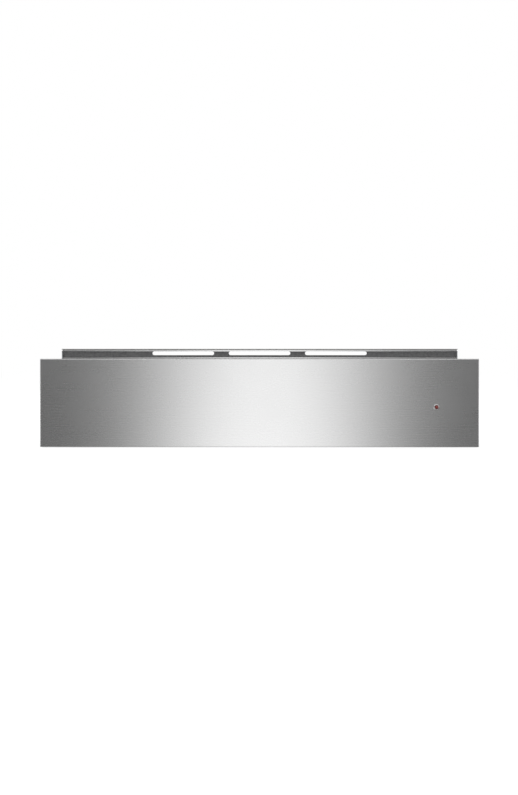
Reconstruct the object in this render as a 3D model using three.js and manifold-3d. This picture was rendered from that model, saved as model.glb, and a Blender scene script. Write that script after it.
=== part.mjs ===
// Built-in warming drawer for a 60 cm column of kitchen units, in millimetres.
// +Z is up and +Y runs back into the cupboard, so the steel fascia faces -Y.
// The origin is the middle of the footprint, on the shelf that carries the chassis.
import * as THREE from "three";
import { mergeVertices } from "three/addons/utils/BufferGeometryUtils.js";
import Module from "manifold-3d";

const wasm = await Module();
wasm.setup();

// ---------------------------------------------------------------- driving dimensions
const FIT = 0.3; // gap left between pieces that bear on each other
const SHEET = 1; // galvanised sheet of the chassis and stainless sheet of the tub
const HOLE_CLEARANCE = 0.3; // radial room round a screw, pin or spindle

const FASCIA_WIDTH = 595;
const FASCIA_HEIGHT = 119.5;
const FASCIA_LIFT = 1; // lower edge above the shelf
const FASCIA_OVERHANG = 27; // beyond the chassis, left and right
const FASCIA_DEPTH = 19; // depth of the four folded edges
const FASCIA_SHEET = 1.2;
const FASCIA_BEND = 1.2; // radius round the front edges

const CHASSIS_DEPTH = 518;
const RAIL_TUCK = 1.3; // the vent rail's underside below the top of the fascia before it
const RAIL_HEIGHT = 13.5;
const HOT_AIR_ROOM = 98; // tub's back wall to the back of the chassis

const PUSH_IN = 3; // over-travel that trips the push latch
const SEAL_THICK = 2.2;
const SEAL_WIDTH = 4.6;
const SEAL_ROOM = 0.5; // left between seal and chassis when the drawer is pushed right in
const FRONT_FLANGE = 7.5; // outward flange of the side walls, which the seal meets
const FLANGE_END_GAP = 1.5; // from the seal's run to the edge of that flange

const BEZEL_PROUD = 0.7; // lamp ring, in front of the fascia
const GLAND_PROUD = 7; // cable gland, behind the chassis

// ---------------------------------------------------------------- planes worked out from them
const FRONT_GAP = FIT + SEAL_THICK + PUSH_IN + SEAL_ROOM; // fascia to chassis
const OVERALL_DEPTH = BEZEL_PROUD + FASCIA_DEPTH + FRONT_GAP + CHASSIS_DEPTH + GLAND_PROUD;
const fasciaFront = -OVERALL_DEPTH / 2 + BEZEL_PROUD;
const fasciaBack = fasciaFront + FASCIA_DEPTH;
const fasciaTop = FASCIA_LIFT + FASCIA_HEIGHT;
const chassisFront = fasciaBack + FRONT_GAP;
const chassisBack = chassisFront + CHASSIS_DEPTH;
const tubBack = chassisBack - HOT_AIR_ROOM;
const wallOuter = FASCIA_WIDTH / 2 - FASCIA_OVERHANG;
const wallInner = wallOuter - SHEET;
const railBottom = fasciaTop - RAIL_TUCK;
const wallTop = railBottom + RAIL_HEIGHT;
const coverBottom = wallTop + FIT;
const chassisHeight = coverBottom + SHEET;

// ---------------------------------------------------------------- solids
// A closed BufferGeometry as a manifold solid, whichever way its profile ran.
function solidOf(geometry) {
  const bare = geometry.clone();
  bare.deleteAttribute("normal");
  bare.deleteAttribute("uv");
  const merged = mergeVertices(bare, 1e-4);
  const index = merged.index.array;
  const kept = [];
  for (let i = 0; i < index.length; i += 3) {
    const [a, b, c] = [index[i], index[i + 1], index[i + 2]];
    if (a !== b && b !== c && c !== a) kept.push(a, b, c);
  }
  const build = (triVerts) =>
    new wasm.Manifold(
      new wasm.Mesh({
        numProp: 3,
        vertProperties: merged.attributes.position.array,
        triVerts: new Uint32Array(triVerts),
      }),
    );
  const solid = build(kept);
  return solid.volume() > 0 ? solid : build(kept.reverse());
}

const join = (...solids) => solids.flat().reduce((whole, next) => whole.add(next));
const cut = (solid, ...tools) => tools.flat().reduce((left, tool) => left.subtract(tool), solid);

function box([x0, x1], [y0, y1], [z0, z1]) {
  const geometry = new THREE.BoxGeometry(Math.abs(x1 - x0), Math.abs(y1 - y0), Math.abs(z1 - z0));
  return solidOf(geometry.translate((x0 + x1) / 2, (y0 + y1) / 2, (z0 + z1) / 2));
}

// A flat outline, carried along one axis. Its points are (y, z) along X, (x, z) along Y and (x, y) along Z.
const AXES = {
  x: [new THREE.Vector3(0, 1, 0), new THREE.Vector3(0, 0, 1), new THREE.Vector3(1, 0, 0)],
  y: [new THREE.Vector3(1, 0, 0), new THREE.Vector3(0, 0, 1), new THREE.Vector3(0, -1, 0)],
  z: [new THREE.Vector3(1, 0, 0), new THREE.Vector3(0, 1, 0), new THREE.Vector3(0, 0, 1)],
};
function extrude(shape, axis, [from, to], curveSegments = 6) {
  const options = { depth: to - from, bevelEnabled: false, curveSegments };
  const geometry = new THREE.ExtrudeGeometry(shape, options);
  geometry.applyMatrix4(new THREE.Matrix4().makeBasis(...AXES[axis]));
  const start = axis === "y" ? to : from;
  const [x, y, z] = ["x", "y", "z"].map((name) => (name === axis ? start : 0));
  return solidOf(geometry.translate(x, y, z));
}

const outline = (points) => new THREE.Shape(points.map(([u, v]) => new THREE.Vector2(u, v)));

// A slot with round ends, centred on (u, v); `upright` stands it on end.
function slotOutline(u, v, length, width, upright = false) {
  const r = width / 2;
  const reach = length / 2 - r;
  const shape = new THREE.Shape();
  if (upright) {
    shape.absarc(u, v + reach, r, 0, Math.PI, false);
    shape.absarc(u, v - reach, r, Math.PI, 2 * Math.PI, false);
  } else {
    shape.absarc(u + reach, v, r, -Math.PI / 2, Math.PI / 2, false);
    shape.absarc(u - reach, v, r, Math.PI / 2, (3 * Math.PI) / 2, false);
  }
  return shape.closePath();
}

const ROUND_SEGMENTS = 24;
const FINE_SEGMENTS = 32; // round pieces that are seen close
const SMALL_SEGMENTS = 16;

// A turned piece: the profile's points are (radius, distance along the axis) from `at`.
function turned(profile, axis, at, segments = ROUND_SEGMENTS) {
  const points = profile.map(([r, h]) => new THREE.Vector2(r, h));
  const geometry = new THREE.LatheGeometry(points, segments);
  if (axis === "z") geometry.rotateX(Math.PI / 2);
  if (axis === "x") geometry.rotateZ(-Math.PI / 2);
  return solidOf(geometry.translate(...at));
}
const rod = (r, length, axis, at, segments = ROUND_SEGMENTS) =>
  turned([[0, 0], [r, 0], [r, length], [0, length]], axis, at, segments);

// ---------------------------------------------------------------- materials
const finish = (color, metalness, roughness) =>
  new THREE.MeshStandardMaterial({ color, metalness, roughness });
const brushedSteel = finish(0xb9babb, 1, 0.32);
const tubSteel = finish(0xb4b6b8, 1, 0.38);
const galvanised = finish(0xa7abad, 0.9, 0.5);
const zincPlated = finish(0xc3c6c8, 1, 0.35);
const chrome = finish(0xd8dadb, 1, 0.12);
const redLens = finish(0x8c1d1c, 0, 0.15);
const silicone = finish(0x1d1e1f, 0, 0.75);
const blackGlass = finish(0x101113, 0, 0.08);
const darkPlastic = finish(0x2a2b2d, 0, 0.45);
const palePlastic = finish(0xd9d6cc, 0, 0.5);
const fanAluminium = finish(0xb9bdc1, 1, 0.45);
const heaterSheath = finish(0x4d4a46, 0.8, 0.55);
const motorIron = finish(0x5a5d60, 0.8, 0.5);

const model = new THREE.Group();
function piece(name, solid, material) {
  const made = solid.getMesh();
  const geometry = new THREE.BufferGeometry();
  geometry.setAttribute("position", new THREE.BufferAttribute(new Float32Array(made.vertProperties), 3));
  geometry.setIndex(new THREE.BufferAttribute(new Uint32Array(made.triVerts), 1));
  const mesh = new THREE.Mesh(geometry, material);
  mesh.name = name;
  model.add(mesh);
}
const SIDES = [["left", -1], ["right", 1]];
const across = (side, inner, outer) => (side > 0 ? [inner, outer] : [-outer, -inner]);

// ---------------------------------------------------------------- screws
const SCREW_RADIUS = 1.9;
const SCREW_LENGTH = 8;
const SCREW_HEAD_RADIUS = 3.8;
const SCREW_HEAD_HEIGHT = 2.1;
const PAN_SHOULDER = 0.6; // upright side of a pan head, as a share of its height
const PAN_CROWN = 0.7; // flat top of a pan head, as a share of its radius
const screwHole = SCREW_RADIUS + HOLE_CLEARANCE;

// The profile runs from the shank's tip to the top of a pan head whose seat is at 0.
function panScrew(axis, at, pointsTo) {
  const profile = [
    [0, -SCREW_LENGTH],
    [SCREW_RADIUS, -SCREW_LENGTH + SCREW_RADIUS],
    [SCREW_RADIUS, 0],
    [SCREW_HEAD_RADIUS, 0],
    [SCREW_HEAD_RADIUS, SCREW_HEAD_HEIGHT * PAN_SHOULDER],
    [SCREW_HEAD_RADIUS * PAN_CROWN, SCREW_HEAD_HEIGHT],
    [0, SCREW_HEAD_HEIGHT],
  ];
  const facing = pointsTo > 0 ? profile : profile.map(([r, h]) => [r, -h]);
  return turned(facing, axis, at, SMALL_SEGMENTS);
}

// A countersunk screw whose flat top is flush at height 0, and the hole that it sits in.
const sunkProfile = (grow) => [
  [0, -SCREW_LENGTH - grow],
  [SCREW_RADIUS + grow, -SCREW_LENGTH - grow],
  [SCREW_RADIUS + grow, -SCREW_HEAD_HEIGHT],
  [SCREW_HEAD_RADIUS + grow, grow],
  [0, grow],
];
const sunkScrew = (at) => turned(sunkProfile(0), "z", at, SMALL_SEGMENTS);
const sunkHole = (at) => turned(sunkProfile(HOLE_CLEARANCE), "z", at, SMALL_SEGMENTS);

// ---------------------------------------------------------------- chassis: base, walls, rear panel
const BASE_LIP = 5; // front edge turned up
const BASE_FLANGE = 10; // side and rear edges turned up
const BASE_BEAD_HEIGHT = 2.5;
const BASE_BEAD_WIDTH = 14;
const BASE_BEADS = 4;
const BASE_BEAD_INSET = [28, 56]; // from the pan's front edge, and from the tub's back wall
const FLANGE_LOW = 3; // lower end of the front flanges

// A stiffening bead pressed into a sheet, from its near face at (u, v) to the side that `press` points to.
// Its outline is (u, v) with v across the sheet; `swap` turns it for an upright sheet.
function pressBead(sheet, u, v, width, press, run, swap = false) {
  const way = Math.sign(press);
  const section = (grow) => {
    const deep = v + press + way * grow;
    const foot = width / 2 + grow;
    const crown = width / 4 + grow;
    const points = [[u - foot, v], [u - crown, deep], [u + crown, deep], [u + foot, v]];
    return outline(swap ? points.map(([a, b]) => [b, a]) : points);
  };
  const outer = extrude(section(SHEET), "y", [run[0] - SHEET, run[1] + SHEET]);
  return cut(join(sheet, outer), extrude(section(0), "y", run));
}

const basePanHalf = wallInner - FIT;
const basePanBack = chassisBack - SHEET - FIT;

function basePan() {
  const run = [chassisFront, basePanBack];
  const beadRun = [chassisFront + BASE_BEAD_INSET[0], tubBack - BASE_BEAD_INSET[1]];
  const pitch = (2 * basePanHalf) / BASE_BEADS;
  let pan = join(
    box([-basePanHalf, basePanHalf], run, [0, SHEET]),
    box([-basePanHalf, basePanHalf], [chassisFront, chassisFront + SHEET], [0, BASE_LIP]),
    box([-basePanHalf, basePanHalf], [basePanBack - SHEET, basePanBack], [0, BASE_FLANGE]),
    SIDES.map(([, side]) => box(across(side, basePanHalf - SHEET, basePanHalf), run, [0, BASE_FLANGE])),
  );
  for (let i = 0; i < BASE_BEADS; i++) {
    const x = -basePanHalf + pitch * (i + 0.5);
    pan = pressBead(pan, x, 0, BASE_BEAD_WIDTH, BASE_BEAD_HEIGHT, beadRun);
  }
  return pan;
}
piece("base_pan", basePan(), galvanised);

// ---------------------------------------------------------------- vent rail, ceiling and top cover
const RAIL_DEPTH = 9;
const RAIL_UPPER_LIP = 2.2;
const RAIL_LOWER_LIP = 3.3;
const RAIL_TOP_FLANGE = 12; // runs back from the web, under the cover
const VENT_COUNT = 3;
const VENT_LENGTH = 84.5;
const VENT_HEIGHT = 5.1;
const VENT_PITCH = 104.5;
const railWeb = chassisFront + RAIL_DEPTH; // back of the web
const ventTop = wallTop - RAIL_UPPER_LIP;

// A lipped channel, open to the front, with a flange under the cover. Its slots let cooling air through.
function ventRail() {
  const front = chassisFront;
  const section = outline([
    [front, ventTop],
    [front + SHEET, ventTop],
    [front + SHEET, wallTop - SHEET],
    [railWeb - SHEET, wallTop - SHEET],
    [railWeb - SHEET, railBottom + SHEET],
    [front + SHEET, railBottom + SHEET],
    [front + SHEET, railBottom + RAIL_LOWER_LIP],
    [front, railBottom + RAIL_LOWER_LIP],
    [front, railBottom],
    [railWeb, railBottom],
    [railWeb, wallTop - SHEET],
    [railWeb + RAIL_TOP_FLANGE, wallTop - SHEET],
    [railWeb + RAIL_TOP_FLANGE, wallTop],
    [front, wallTop],
  ]);
  const half = wallInner - FIT;
  const slots = [];
  for (let i = 0; i < VENT_COUNT; i++) {
    const x = (i - (VENT_COUNT - 1) / 2) * VENT_PITCH;
    const shape = slotOutline(x, ventTop - VENT_HEIGHT / 2, VENT_LENGTH, VENT_HEIGHT);
    slots.push(extrude(shape, "y", [railWeb - 2 * SHEET, railWeb + SHEET]));
  }
  return cut(extrude(section, "x", [-half, half]), slots);
}
piece("vent_rail", ventRail(), brushedSteel);

const CEILING_DROP = 7.6; // front and side edges turned down, behind the seal
const ceilingTop = railBottom - FIT;
const ceilingBottom = ceilingTop - SHEET;
const ceilingHalf = wallInner - FIT;
const ceilingBack = chassisBack - FIT;

// A shallow tray upside down, open at the back, where it rests on the rear panel.
function ceilingPlate() {
  const low = ceilingTop - CEILING_DROP;
  const flangeEnd = chassisBack - SHEET - 2 * FIT;
  const block = box([-ceilingHalf, ceilingHalf], [chassisFront, ceilingBack], [low, ceilingTop]);
  const inside = [-ceilingHalf + SHEET, ceilingHalf - SHEET];
  const hollow = box(inside, [chassisFront + SHEET, ceilingBack + SHEET], [low - SHEET, ceilingBottom]);
  const past = [-ceilingHalf - SHEET, ceilingHalf + SHEET];
  return cut(block, hollow, box(past, [flangeEnd, ceilingBack + SHEET], [low - SHEET, ceilingBottom]));
}
piece("ceiling_plate", ceilingPlate(), galvanised);

const COVER_BEAD_WIDTH = 12;
const COVER_BEAD_DEPTH = 1.6;
const COVER_BEAD_INSET = 50; // from the cover's front and back edges
const COVER_BEAD_PITCH = 104.5;
const COVER_BEADS = 5;
const COVER_SCREW_EDGE = 8; // screw centre to the cover's side edge
const COVER_SCREW_INSET = 40; // screw centre to the cover's front or back edge

const coverScrews = [];
for (const [name, side] of SIDES)
  for (const [end, y] of [
    ["front", chassisFront + COVER_SCREW_INSET],
    ["rear", chassisBack - COVER_SCREW_INSET],
  ])
    coverScrews.push({
      name: `cover_screw_${end}_${name}`,
      at: [side * (wallOuter - COVER_SCREW_EDGE), y, chassisHeight],
    });

function topCover() {
  let cover = box([-wallOuter, wallOuter], [chassisFront, chassisBack], [coverBottom, chassisHeight]);
  const beadRun = [chassisFront + COVER_BEAD_INSET, chassisBack - COVER_BEAD_INSET];
  for (let i = 0; i < COVER_BEADS; i++) {
    const x = (i - (COVER_BEADS - 1) / 2) * COVER_BEAD_PITCH;
    cover = pressBead(cover, x, chassisHeight, COVER_BEAD_WIDTH, -COVER_BEAD_DEPTH, beadRun);
  }
  return cut(cover, coverScrews.map((screw) => sunkHole(screw.at)));
}
piece("top_cover", topCover(), galvanised);
for (const screw of coverScrews) piece(screw.name, sunkScrew(screw.at), zincPlated);

// Two upright stringers carry the cover across the air channel, clear of the slots.
const STRINGER_X = 175;
const STRINGER_FLANGE = 12;
const STRINGER_INSET = 30;
for (const [name, side] of SIDES) {
  const run = [chassisFront + STRINGER_INSET, chassisBack - STRINGER_INSET];
  const [low, high] = [ceilingTop + FIT, coverBottom - FIT];
  const flange = across(side, STRINGER_X, STRINGER_X + STRINGER_FLANGE);
  const stringer = join(
    box(across(side, STRINGER_X, STRINGER_X + SHEET), run, [low, high]),
    box(flange, run, [low, low + SHEET]),
    box(flange, run, [high - SHEET, high]),
  );
  piece(`cover_stringer_${name}`, stringer, galvanised);
}

// ---------------------------------------------------------------- side walls and their cupboard brackets
const BRACKET_SHEET = 1.5;
const BRACKET_REACH = 7.5; // wall to the cupboard's side panel
const BRACKET_LENGTH = 52;
const BRACKET_SEAT = 0.45; // share of its length that lies on the wall
const BRACKET_HEIGHT = 32;
const BRACKET_LOW = 74;
const BRACKET_INSET = 14; // behind the front flange
const BRACKET_SCREW_EDGE = 8; // screw centres to the bracket's upper and lower edges
const CUPBOARD_HOLE = 2.5; // radius, for a 4.5 mm wood screw
const bracketFace = wallOuter + FIT + BRACKET_REACH;
const bracketFront = chassisFront + BRACKET_INSET;
const bracketBend = bracketFront + BRACKET_LENGTH * BRACKET_SEAT;
const bracketZ = [BRACKET_LOW, BRACKET_LOW + BRACKET_HEIGHT];
const bracketScrewZ = [bracketZ[0] + BRACKET_SCREW_EDGE, bracketZ[1] - BRACKET_SCREW_EDGE];
const bracketScrewY = (bracketFront + bracketBend) / 2;
const cupboardHoleY = (bracketBend + bracketFront + BRACKET_LENGTH) / 2;

const WALL_TOP_FLANGE = 14; // turned in, under the top cover
const WALL_BEAD_Z = [80, 102];
const WALL_BEAD_WIDTH = 10;
const WALL_BEAD_DEPTH = 2; // pressed outwards
const WALL_BEAD_INSET = [78, 40]; // from the front and the back of the chassis
const WALL_BEAD_RUN = [chassisFront + WALL_BEAD_INSET[0], chassisBack - WALL_BEAD_INSET[1]];

const sideWall = (side) => {
  let wall = join(
    box(across(side, wallInner, wallOuter), [chassisFront, chassisBack], [0, wallTop]),
    box(
      across(side, wallOuter - WALL_TOP_FLANGE, wallOuter),
      [railWeb + RAIL_TOP_FLANGE + FIT, chassisBack],
      [wallTop - SHEET, wallTop],
    ),
    box(
      across(side, wallInner, wallOuter + FRONT_FLANGE),
      [chassisFront, chassisFront + SHEET],
      [FLANGE_LOW, ceilingBottom],
    ),
  );
  for (const z of WALL_BEAD_Z) {
    const press = side * WALL_BEAD_DEPTH;
    wall = pressBead(wall, z, side * wallInner, WALL_BEAD_WIDTH, press, WALL_BEAD_RUN, true);
  }
  const drillX = side * (wallInner + SHEET / 2) - 2 * SHEET;
  const drill = bracketScrewZ.map((z) =>
    rod(screwHole, 4 * SHEET, "x", [drillX, bracketScrewY, z], SMALL_SEGMENTS),
  );
  return cut(wall, drill, coverScrews.map((screw) => sunkHole(screw.at)));
};

const cupboardBracket = (side) => {
  const [base, face] = [wallOuter + FIT, bracketFace];
  const arm = [bracketBend - BRACKET_SHEET, bracketFront + BRACKET_LENGTH];
  const bracket = join(
    box(across(side, base, base + BRACKET_SHEET), [bracketFront, bracketBend], bracketZ),
    box(across(side, base, face), [bracketBend - BRACKET_SHEET, bracketBend], bracketZ),
    box(across(side, face - BRACKET_SHEET, face), arm, bracketZ),
  );
  const drill = (r, x, y) =>
    bracketScrewZ.map((z) => {
      const at = [side * x - 2 * BRACKET_SHEET, y, z];
      return rod(r, 4 * BRACKET_SHEET, "x", at, SMALL_SEGMENTS);
    });
  return cut(bracket, drill(screwHole, base, bracketScrewY), drill(CUPBOARD_HOLE, face, cupboardHoleY));
};

for (const [name, side] of SIDES) {
  piece(`side_wall_${name}`, sideWall(side), galvanised);
  piece(`cupboard_bracket_${name}`, cupboardBracket(side), zincPlated);
  bracketScrewZ.forEach((z, i) => {
    const at = [side * (wallOuter + FIT + BRACKET_SHEET + FIT), bracketScrewY, z];
    piece(`bracket_screw_${name}_${["lower", "upper"][i]}`, panScrew("x", at, side), zincPlated);
  });
}

// ---------------------------------------------------------------- telescopic runners
// Each side has an outer member on the wall, a middle member, an inner member on the tub
// and two ball cages. u runs from the wall towards the tub, and v up from the runner's middle.
const RUNNER_Z = 44;
const RUNNER_HEIGHT = 45;
const RUNNER_SHEET = 1.2;
const RUNNER_INSET = 5; // behind the chassis front
const RUNNER_BEHIND = 63; // runner's end to the back of the chassis
const MIDDLE_SHORTER = 20;
const BALL_DIAMETER = 3.8;
const BALL_GAP = 0.3;
const CAGE_SHEET = 0.8;
const CAGE_LENGTH = 170;
const CAGE_START = 140; // cage behind the runner's front end, at rest
const CAGE_BALLS = 5; // in each row
const CAGE_END = 10; // last ball to the cage's end
const INNER_FLANGE = 6.6;
const FLANGE_PAST_BALL = 1.5; // flange beyond the balls
const RUNNER_LIP = 1.4;
const BALL_SIDES = 6;
const BALL_RINGS = 4;

const cageOuterU = RUNNER_SHEET + BALL_GAP;
const middleU = cageOuterU + CAGE_SHEET + BALL_GAP;
const cageInnerU = middleU + RUNNER_SHEET + BALL_GAP;
const innerTipU = cageInnerU + CAGE_SHEET + BALL_GAP;
const runnerThick = innerTipU + INNER_FLANGE;
const outerV = RUNNER_HEIGHT / 2;
const outerBallV = outerV - RUNNER_SHEET - BALL_GAP - BALL_DIAMETER / 2;
const middleV = outerBallV - BALL_DIAMETER / 2 - BALL_GAP;
const innerBallV = middleV - RUNNER_SHEET - BALL_GAP - BALL_DIAMETER / 2;
const innerV = innerBallV - BALL_DIAMETER / 2 - BALL_GAP;
const outerBallU = cageOuterU + CAGE_SHEET + BALL_DIAMETER / 2;
const innerBallU = cageInnerU + CAGE_SHEET + BALL_DIAMETER / 2;
const runnerFront = chassisFront + RUNNER_INSET;
const runnerBack = chassisBack - RUNNER_BEHIND;
const tubOuter = wallInner - FIT - runnerThick - FIT;
const tubInner = tubOuter - SHEET;

// A channel section with its web at webU, its flanges reaching to tipU, and lips at their tips.
function channel(side, webU, tipU, halfHeight, thick, lip) {
  const turn = Math.sign(tipU - webU);
  const corners = [
    [webU, -halfHeight],
    [tipU, -halfHeight],
    [tipU, -halfHeight + thick + lip],
    [tipU - turn * thick, -halfHeight + thick + lip],
    [tipU - turn * thick, -halfHeight + thick],
    [webU + turn * thick, -halfHeight + thick],
  ];
  const shut = lip > 0 ? corners : corners.filter((_, i) => i !== 3 && i !== 4);
  const all = [...shut, ...shut.map(([u, v]) => [u, -v]).reverse()];
  return outline(all.map(([u, v]) => [side * (wallInner - FIT - u), RUNNER_Z + v]));
}

function ballCage(side, webU, ballU, ballV) {
  const start = runnerFront + CAGE_START;
  const tip = ballU + BALL_DIAMETER / 2;
  const section = channel(side, webU, tip, ballV + CAGE_SHEET / 2, CAGE_SHEET, 0);
  const strip = extrude(section, "y", [start, start + CAGE_LENGTH]);
  const balls = [];
  for (let i = 0; i < CAGE_BALLS; i++)
    for (const v of [-ballV, ballV]) {
      const ball = new THREE.SphereGeometry(BALL_DIAMETER / 2, BALL_SIDES, BALL_RINGS);
      const y = start + CAGE_END + ((CAGE_LENGTH - 2 * CAGE_END) * i) / (CAGE_BALLS - 1);
      balls.push(solidOf(ball.translate(side * (wallInner - FIT - ballU), y, RUNNER_Z + v)));
    }
  return join(strip, balls);
}

for (const [name, side] of SIDES) {
  const whole = [runnerFront, runnerBack];
  const shorter = [runnerFront, runnerBack - MIDDLE_SHORTER];
  const outerTip = outerBallU + BALL_DIAMETER / 2 + FLANGE_PAST_BALL + RUNNER_SHEET;
  const middleTip = innerBallU + BALL_DIAMETER / 2 + FLANGE_PAST_BALL + RUNNER_SHEET;
  const member = (web, tip, halfHeight, lip, run) =>
    extrude(channel(side, web, tip, halfHeight, RUNNER_SHEET, lip), "y", run);
  piece(`runner_outer_${name}`, member(0, outerTip, outerV, RUNNER_LIP, whole), zincPlated);
  piece(`runner_middle_${name}`, member(middleU, middleTip, middleV, RUNNER_LIP, shorter), zincPlated);
  piece(`runner_inner_${name}`, member(runnerThick, innerTipU, innerV, 0, whole), zincPlated);
  piece(`ball_cage_outer_${name}`, ballCage(side, cageOuterU, outerBallU, outerBallV), darkPlastic);
  piece(`ball_cage_inner_${name}`, ballCage(side, cageInnerU, innerBallU, innerBallV), darkPlastic);
}

// ---------------------------------------------------------------- controls, sized before the tub
const PANEL_THICK = 2;
const PANEL_LENGTH = 140;
const PANEL_INSET = 5; // panel's edge to the tub wall and to the rail's edges
const PANEL_CORNER = 4;
const KNOB_RADIUS = 14;
const KNOB_HEIGHT = 12;
const KNOB_FROM_END = 34; // knob's axis to the panel's outer end
const KNOB_GRIPS = 12;
const KNOB_SEGMENTS = 3 * KNOB_GRIPS;
const GRIP_RADIUS = 1.6;
const GRIP_SEGMENTS = 10;
const SPINDLE_RADIUS = 3;
const SPINDLE_LENGTH = 6; // knob's underside to the spindle's end
const BUTTON_RADIUS = 8;
const BUTTON_PROUD = 3.5;
const BUTTON_CHAMFER = 1;
const BUTTON_TRAVEL = 2;
const BUTTON_FROM_END = 104;
const BUTTON_STEM_RADIUS = 3;
const THERMOSTAT_SIZE = [34, 34, 22];
const SWITCH_SIZE = [22, 22, 26];
const KNOB_CHAMFER = 1.6;
const POINTER_WIDTH = 1.6;
const POINTER_LENGTH = 8;
const POINTER_PROUD = 0.4;
const KNOB_HEADROOM = 0.6; // under the ceiling's front edge, which the knob passes

// ---------------------------------------------------------------- tub
const FLOOR_HEIGHT = 14; // underside of the tub's floor
const TUB_SIDE_FLANGE = 12; // turned in, under the floor
const TUB_HEM = 3; // rolled outwards along the top
const INNER_FRONT_DEPTH = 50;
const floorTop = FLOOR_HEIGHT + SHEET;
const knobStack = FIT + PANEL_THICK + FIT + KNOB_HEIGHT + POINTER_PROUD + KNOB_HEADROOM;
const tubTop = ceilingTop - CEILING_DROP - knobStack;
const innerFrontY = [fasciaBack + FIT, fasciaBack + FIT + INNER_FRONT_DEPTH];
const floorHalf = tubInner - FIT;
const tubFront = innerFrontY[0];

// Hot air goes round through the tub's back wall and the grille behind it, which share one pattern of
// slots: an intake before the fan, and outlets on both sides of it.
const BAFFLE_GAP = 4; // tub pushed right in, to the grille
const HEATER_BOX_WIDTH = 300;
const HEATER_BOX_DEPTH = 50;
const HEATER_BOX_HEADROOM = 9;
const HEATER_BOX_SHEET = 0.8;
const HEATER_CLEARANCE = 8; // tube to the box round it
const HEATER_TUBE_RADIUS = 3.2;
const HEATER_TERMINAL_SPREAD = 13;
const HEATER_TERMINAL_LENGTH = 9;
const HEATER_SIDES = 8;
const HEATER_STEPS = 60;
const HEATER_BEND = 3; // radius of its bends, in radii of the tube
const HEATER_RING_POINTS = 14;
const FAN_CLEARANCE = 3.8; // blades to the heating tube
const FAN_WIDTH = 20;
const FAN_BLADES = 18;
const FAN_HUB_RADIUS = 7;
const FAN_EYE = 0.55; // blades' inner ends, as a share of the wheel's radius
const BLADE_ANGLE = 0.45; // blades from the wheel's radius, in radians
const FAN_PLATE = 1;
const BLADE_THICK = 1;
const AXLE_RADIUS = 2.5;
const FAN_BEHIND_GRILLE = 9;
const MOTOR_STACK = [58, 15, 50];
const MOTOR_COIL = [30, 24, 22];
const MOTOR_STANDOFF = 9; // heater box to the motor's iron
const MOTOR_LEG = 6; // diameter
const MOTOR_BOSS_RADIUS = 10;
const heaterBoxTop = ceilingBottom - HEATER_BOX_HEADROOM;
const heaterBoxBottom = SHEET + FIT;
const fanZ = (heaterBoxTop + heaterBoxBottom) / 2;
const heaterRingRadius =
  (heaterBoxTop - heaterBoxBottom) / 2 - HEATER_BOX_SHEET - HEATER_CLEARANCE - HEATER_TUBE_RADIUS;
const fanRadius = heaterRingRadius - HEATER_TUBE_RADIUS - FAN_CLEARANCE;

const GRILLE_SLOT_WIDTH = 3.8;
const INTAKE_SLOTS = 7;
const OUTLET_SLOTS = 5;
const OUTLET_PITCH = 13;
const OUTLET_LENGTH = 50;
const OUTLET_FROM_FAN = 26; // blades to the first outlet slot
const SLOT_SEGMENTS = 3;

function airSlots(y) {
  const slots = [];
  for (let i = 0; i < INTAKE_SLOTS; i++) {
    const reach = fanRadius - GRILLE_SLOT_WIDTH;
    const x = ((2 * i + 1) / INTAKE_SLOTS - 1) * reach;
    const chord = 2 * Math.sqrt(reach ** 2 - x ** 2);
    slots.push([x, chord]);
  }
  for (let i = 0; i < OUTLET_SLOTS; i++) {
    const x = fanRadius + OUTLET_FROM_FAN + i * OUTLET_PITCH;
    slots.push([x, OUTLET_LENGTH], [-x, OUTLET_LENGTH]);
  }
  return slots.map(([x, length]) => {
    const shape = slotOutline(x, fanZ, length, GRILLE_SLOT_WIDTH, true);
    return extrude(shape, "y", [y - SHEET, y + 2 * SHEET], SLOT_SEGMENTS);
  });
}

const drawerFloor = box([-floorHalf, floorHalf], [tubFront, tubBack], [FLOOR_HEIGHT, floorTop]);
piece("drawer_floor", drawerFloor, tubSteel);

const BACK_HEM = 5; // turned back along the top of the rear wall
const drawerBack = cut(
  join(
    box([-floorHalf, floorHalf], [tubBack - SHEET, tubBack], [floorTop + FIT, tubTop]),
    box([-floorHalf, floorHalf], [tubBack - SHEET - BACK_HEM, tubBack], [tubTop - SHEET, tubTop]),
  ),
  airSlots(tubBack - SHEET),
);
piece("drawer_back", drawerBack, tubSteel);

// A tab on the right-hand wall carries the drawer's end of the curly lead.
const LEAD_RADIUS = 4.4;
const LEAD_Z = 12.4;
const LEAD_TAB_FROM_BACK = 114; // tab's front face to the tub's back wall
const LEAD_TAB_SHEET = 2;
const leadTabY = tubBack - LEAD_TAB_FROM_BACK;
const leadX = (tubOuter + wallInner - SHEET - FIT) / 2;

const tubWall = (side) => {
  const low = FLOOR_HEIGHT - FIT - SHEET;
  const run = [tubFront, tubBack];
  const wall = join(
    box(across(side, tubInner, tubOuter), run, [low, tubTop]),
    box(across(side, tubOuter - TUB_SIDE_FLANGE, tubOuter), run, [low, low + SHEET]),
    box(across(side, tubInner, tubOuter + TUB_HEM), run, [tubTop - SHEET, tubTop]),
  );
  if (side < 0) return wall;
  const tab = box(
    [tubOuter - SHEET, leadX + LEAD_RADIUS],
    [leadTabY, leadTabY + LEAD_TAB_SHEET],
    [LEAD_Z - LEAD_RADIUS, LEAD_Z + LEAD_RADIUS],
  );
  return join(wall, tab);
};
for (const [name, side] of SIDES) piece(`drawer_side_${name}`, tubWall(side), tubSteel);

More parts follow.
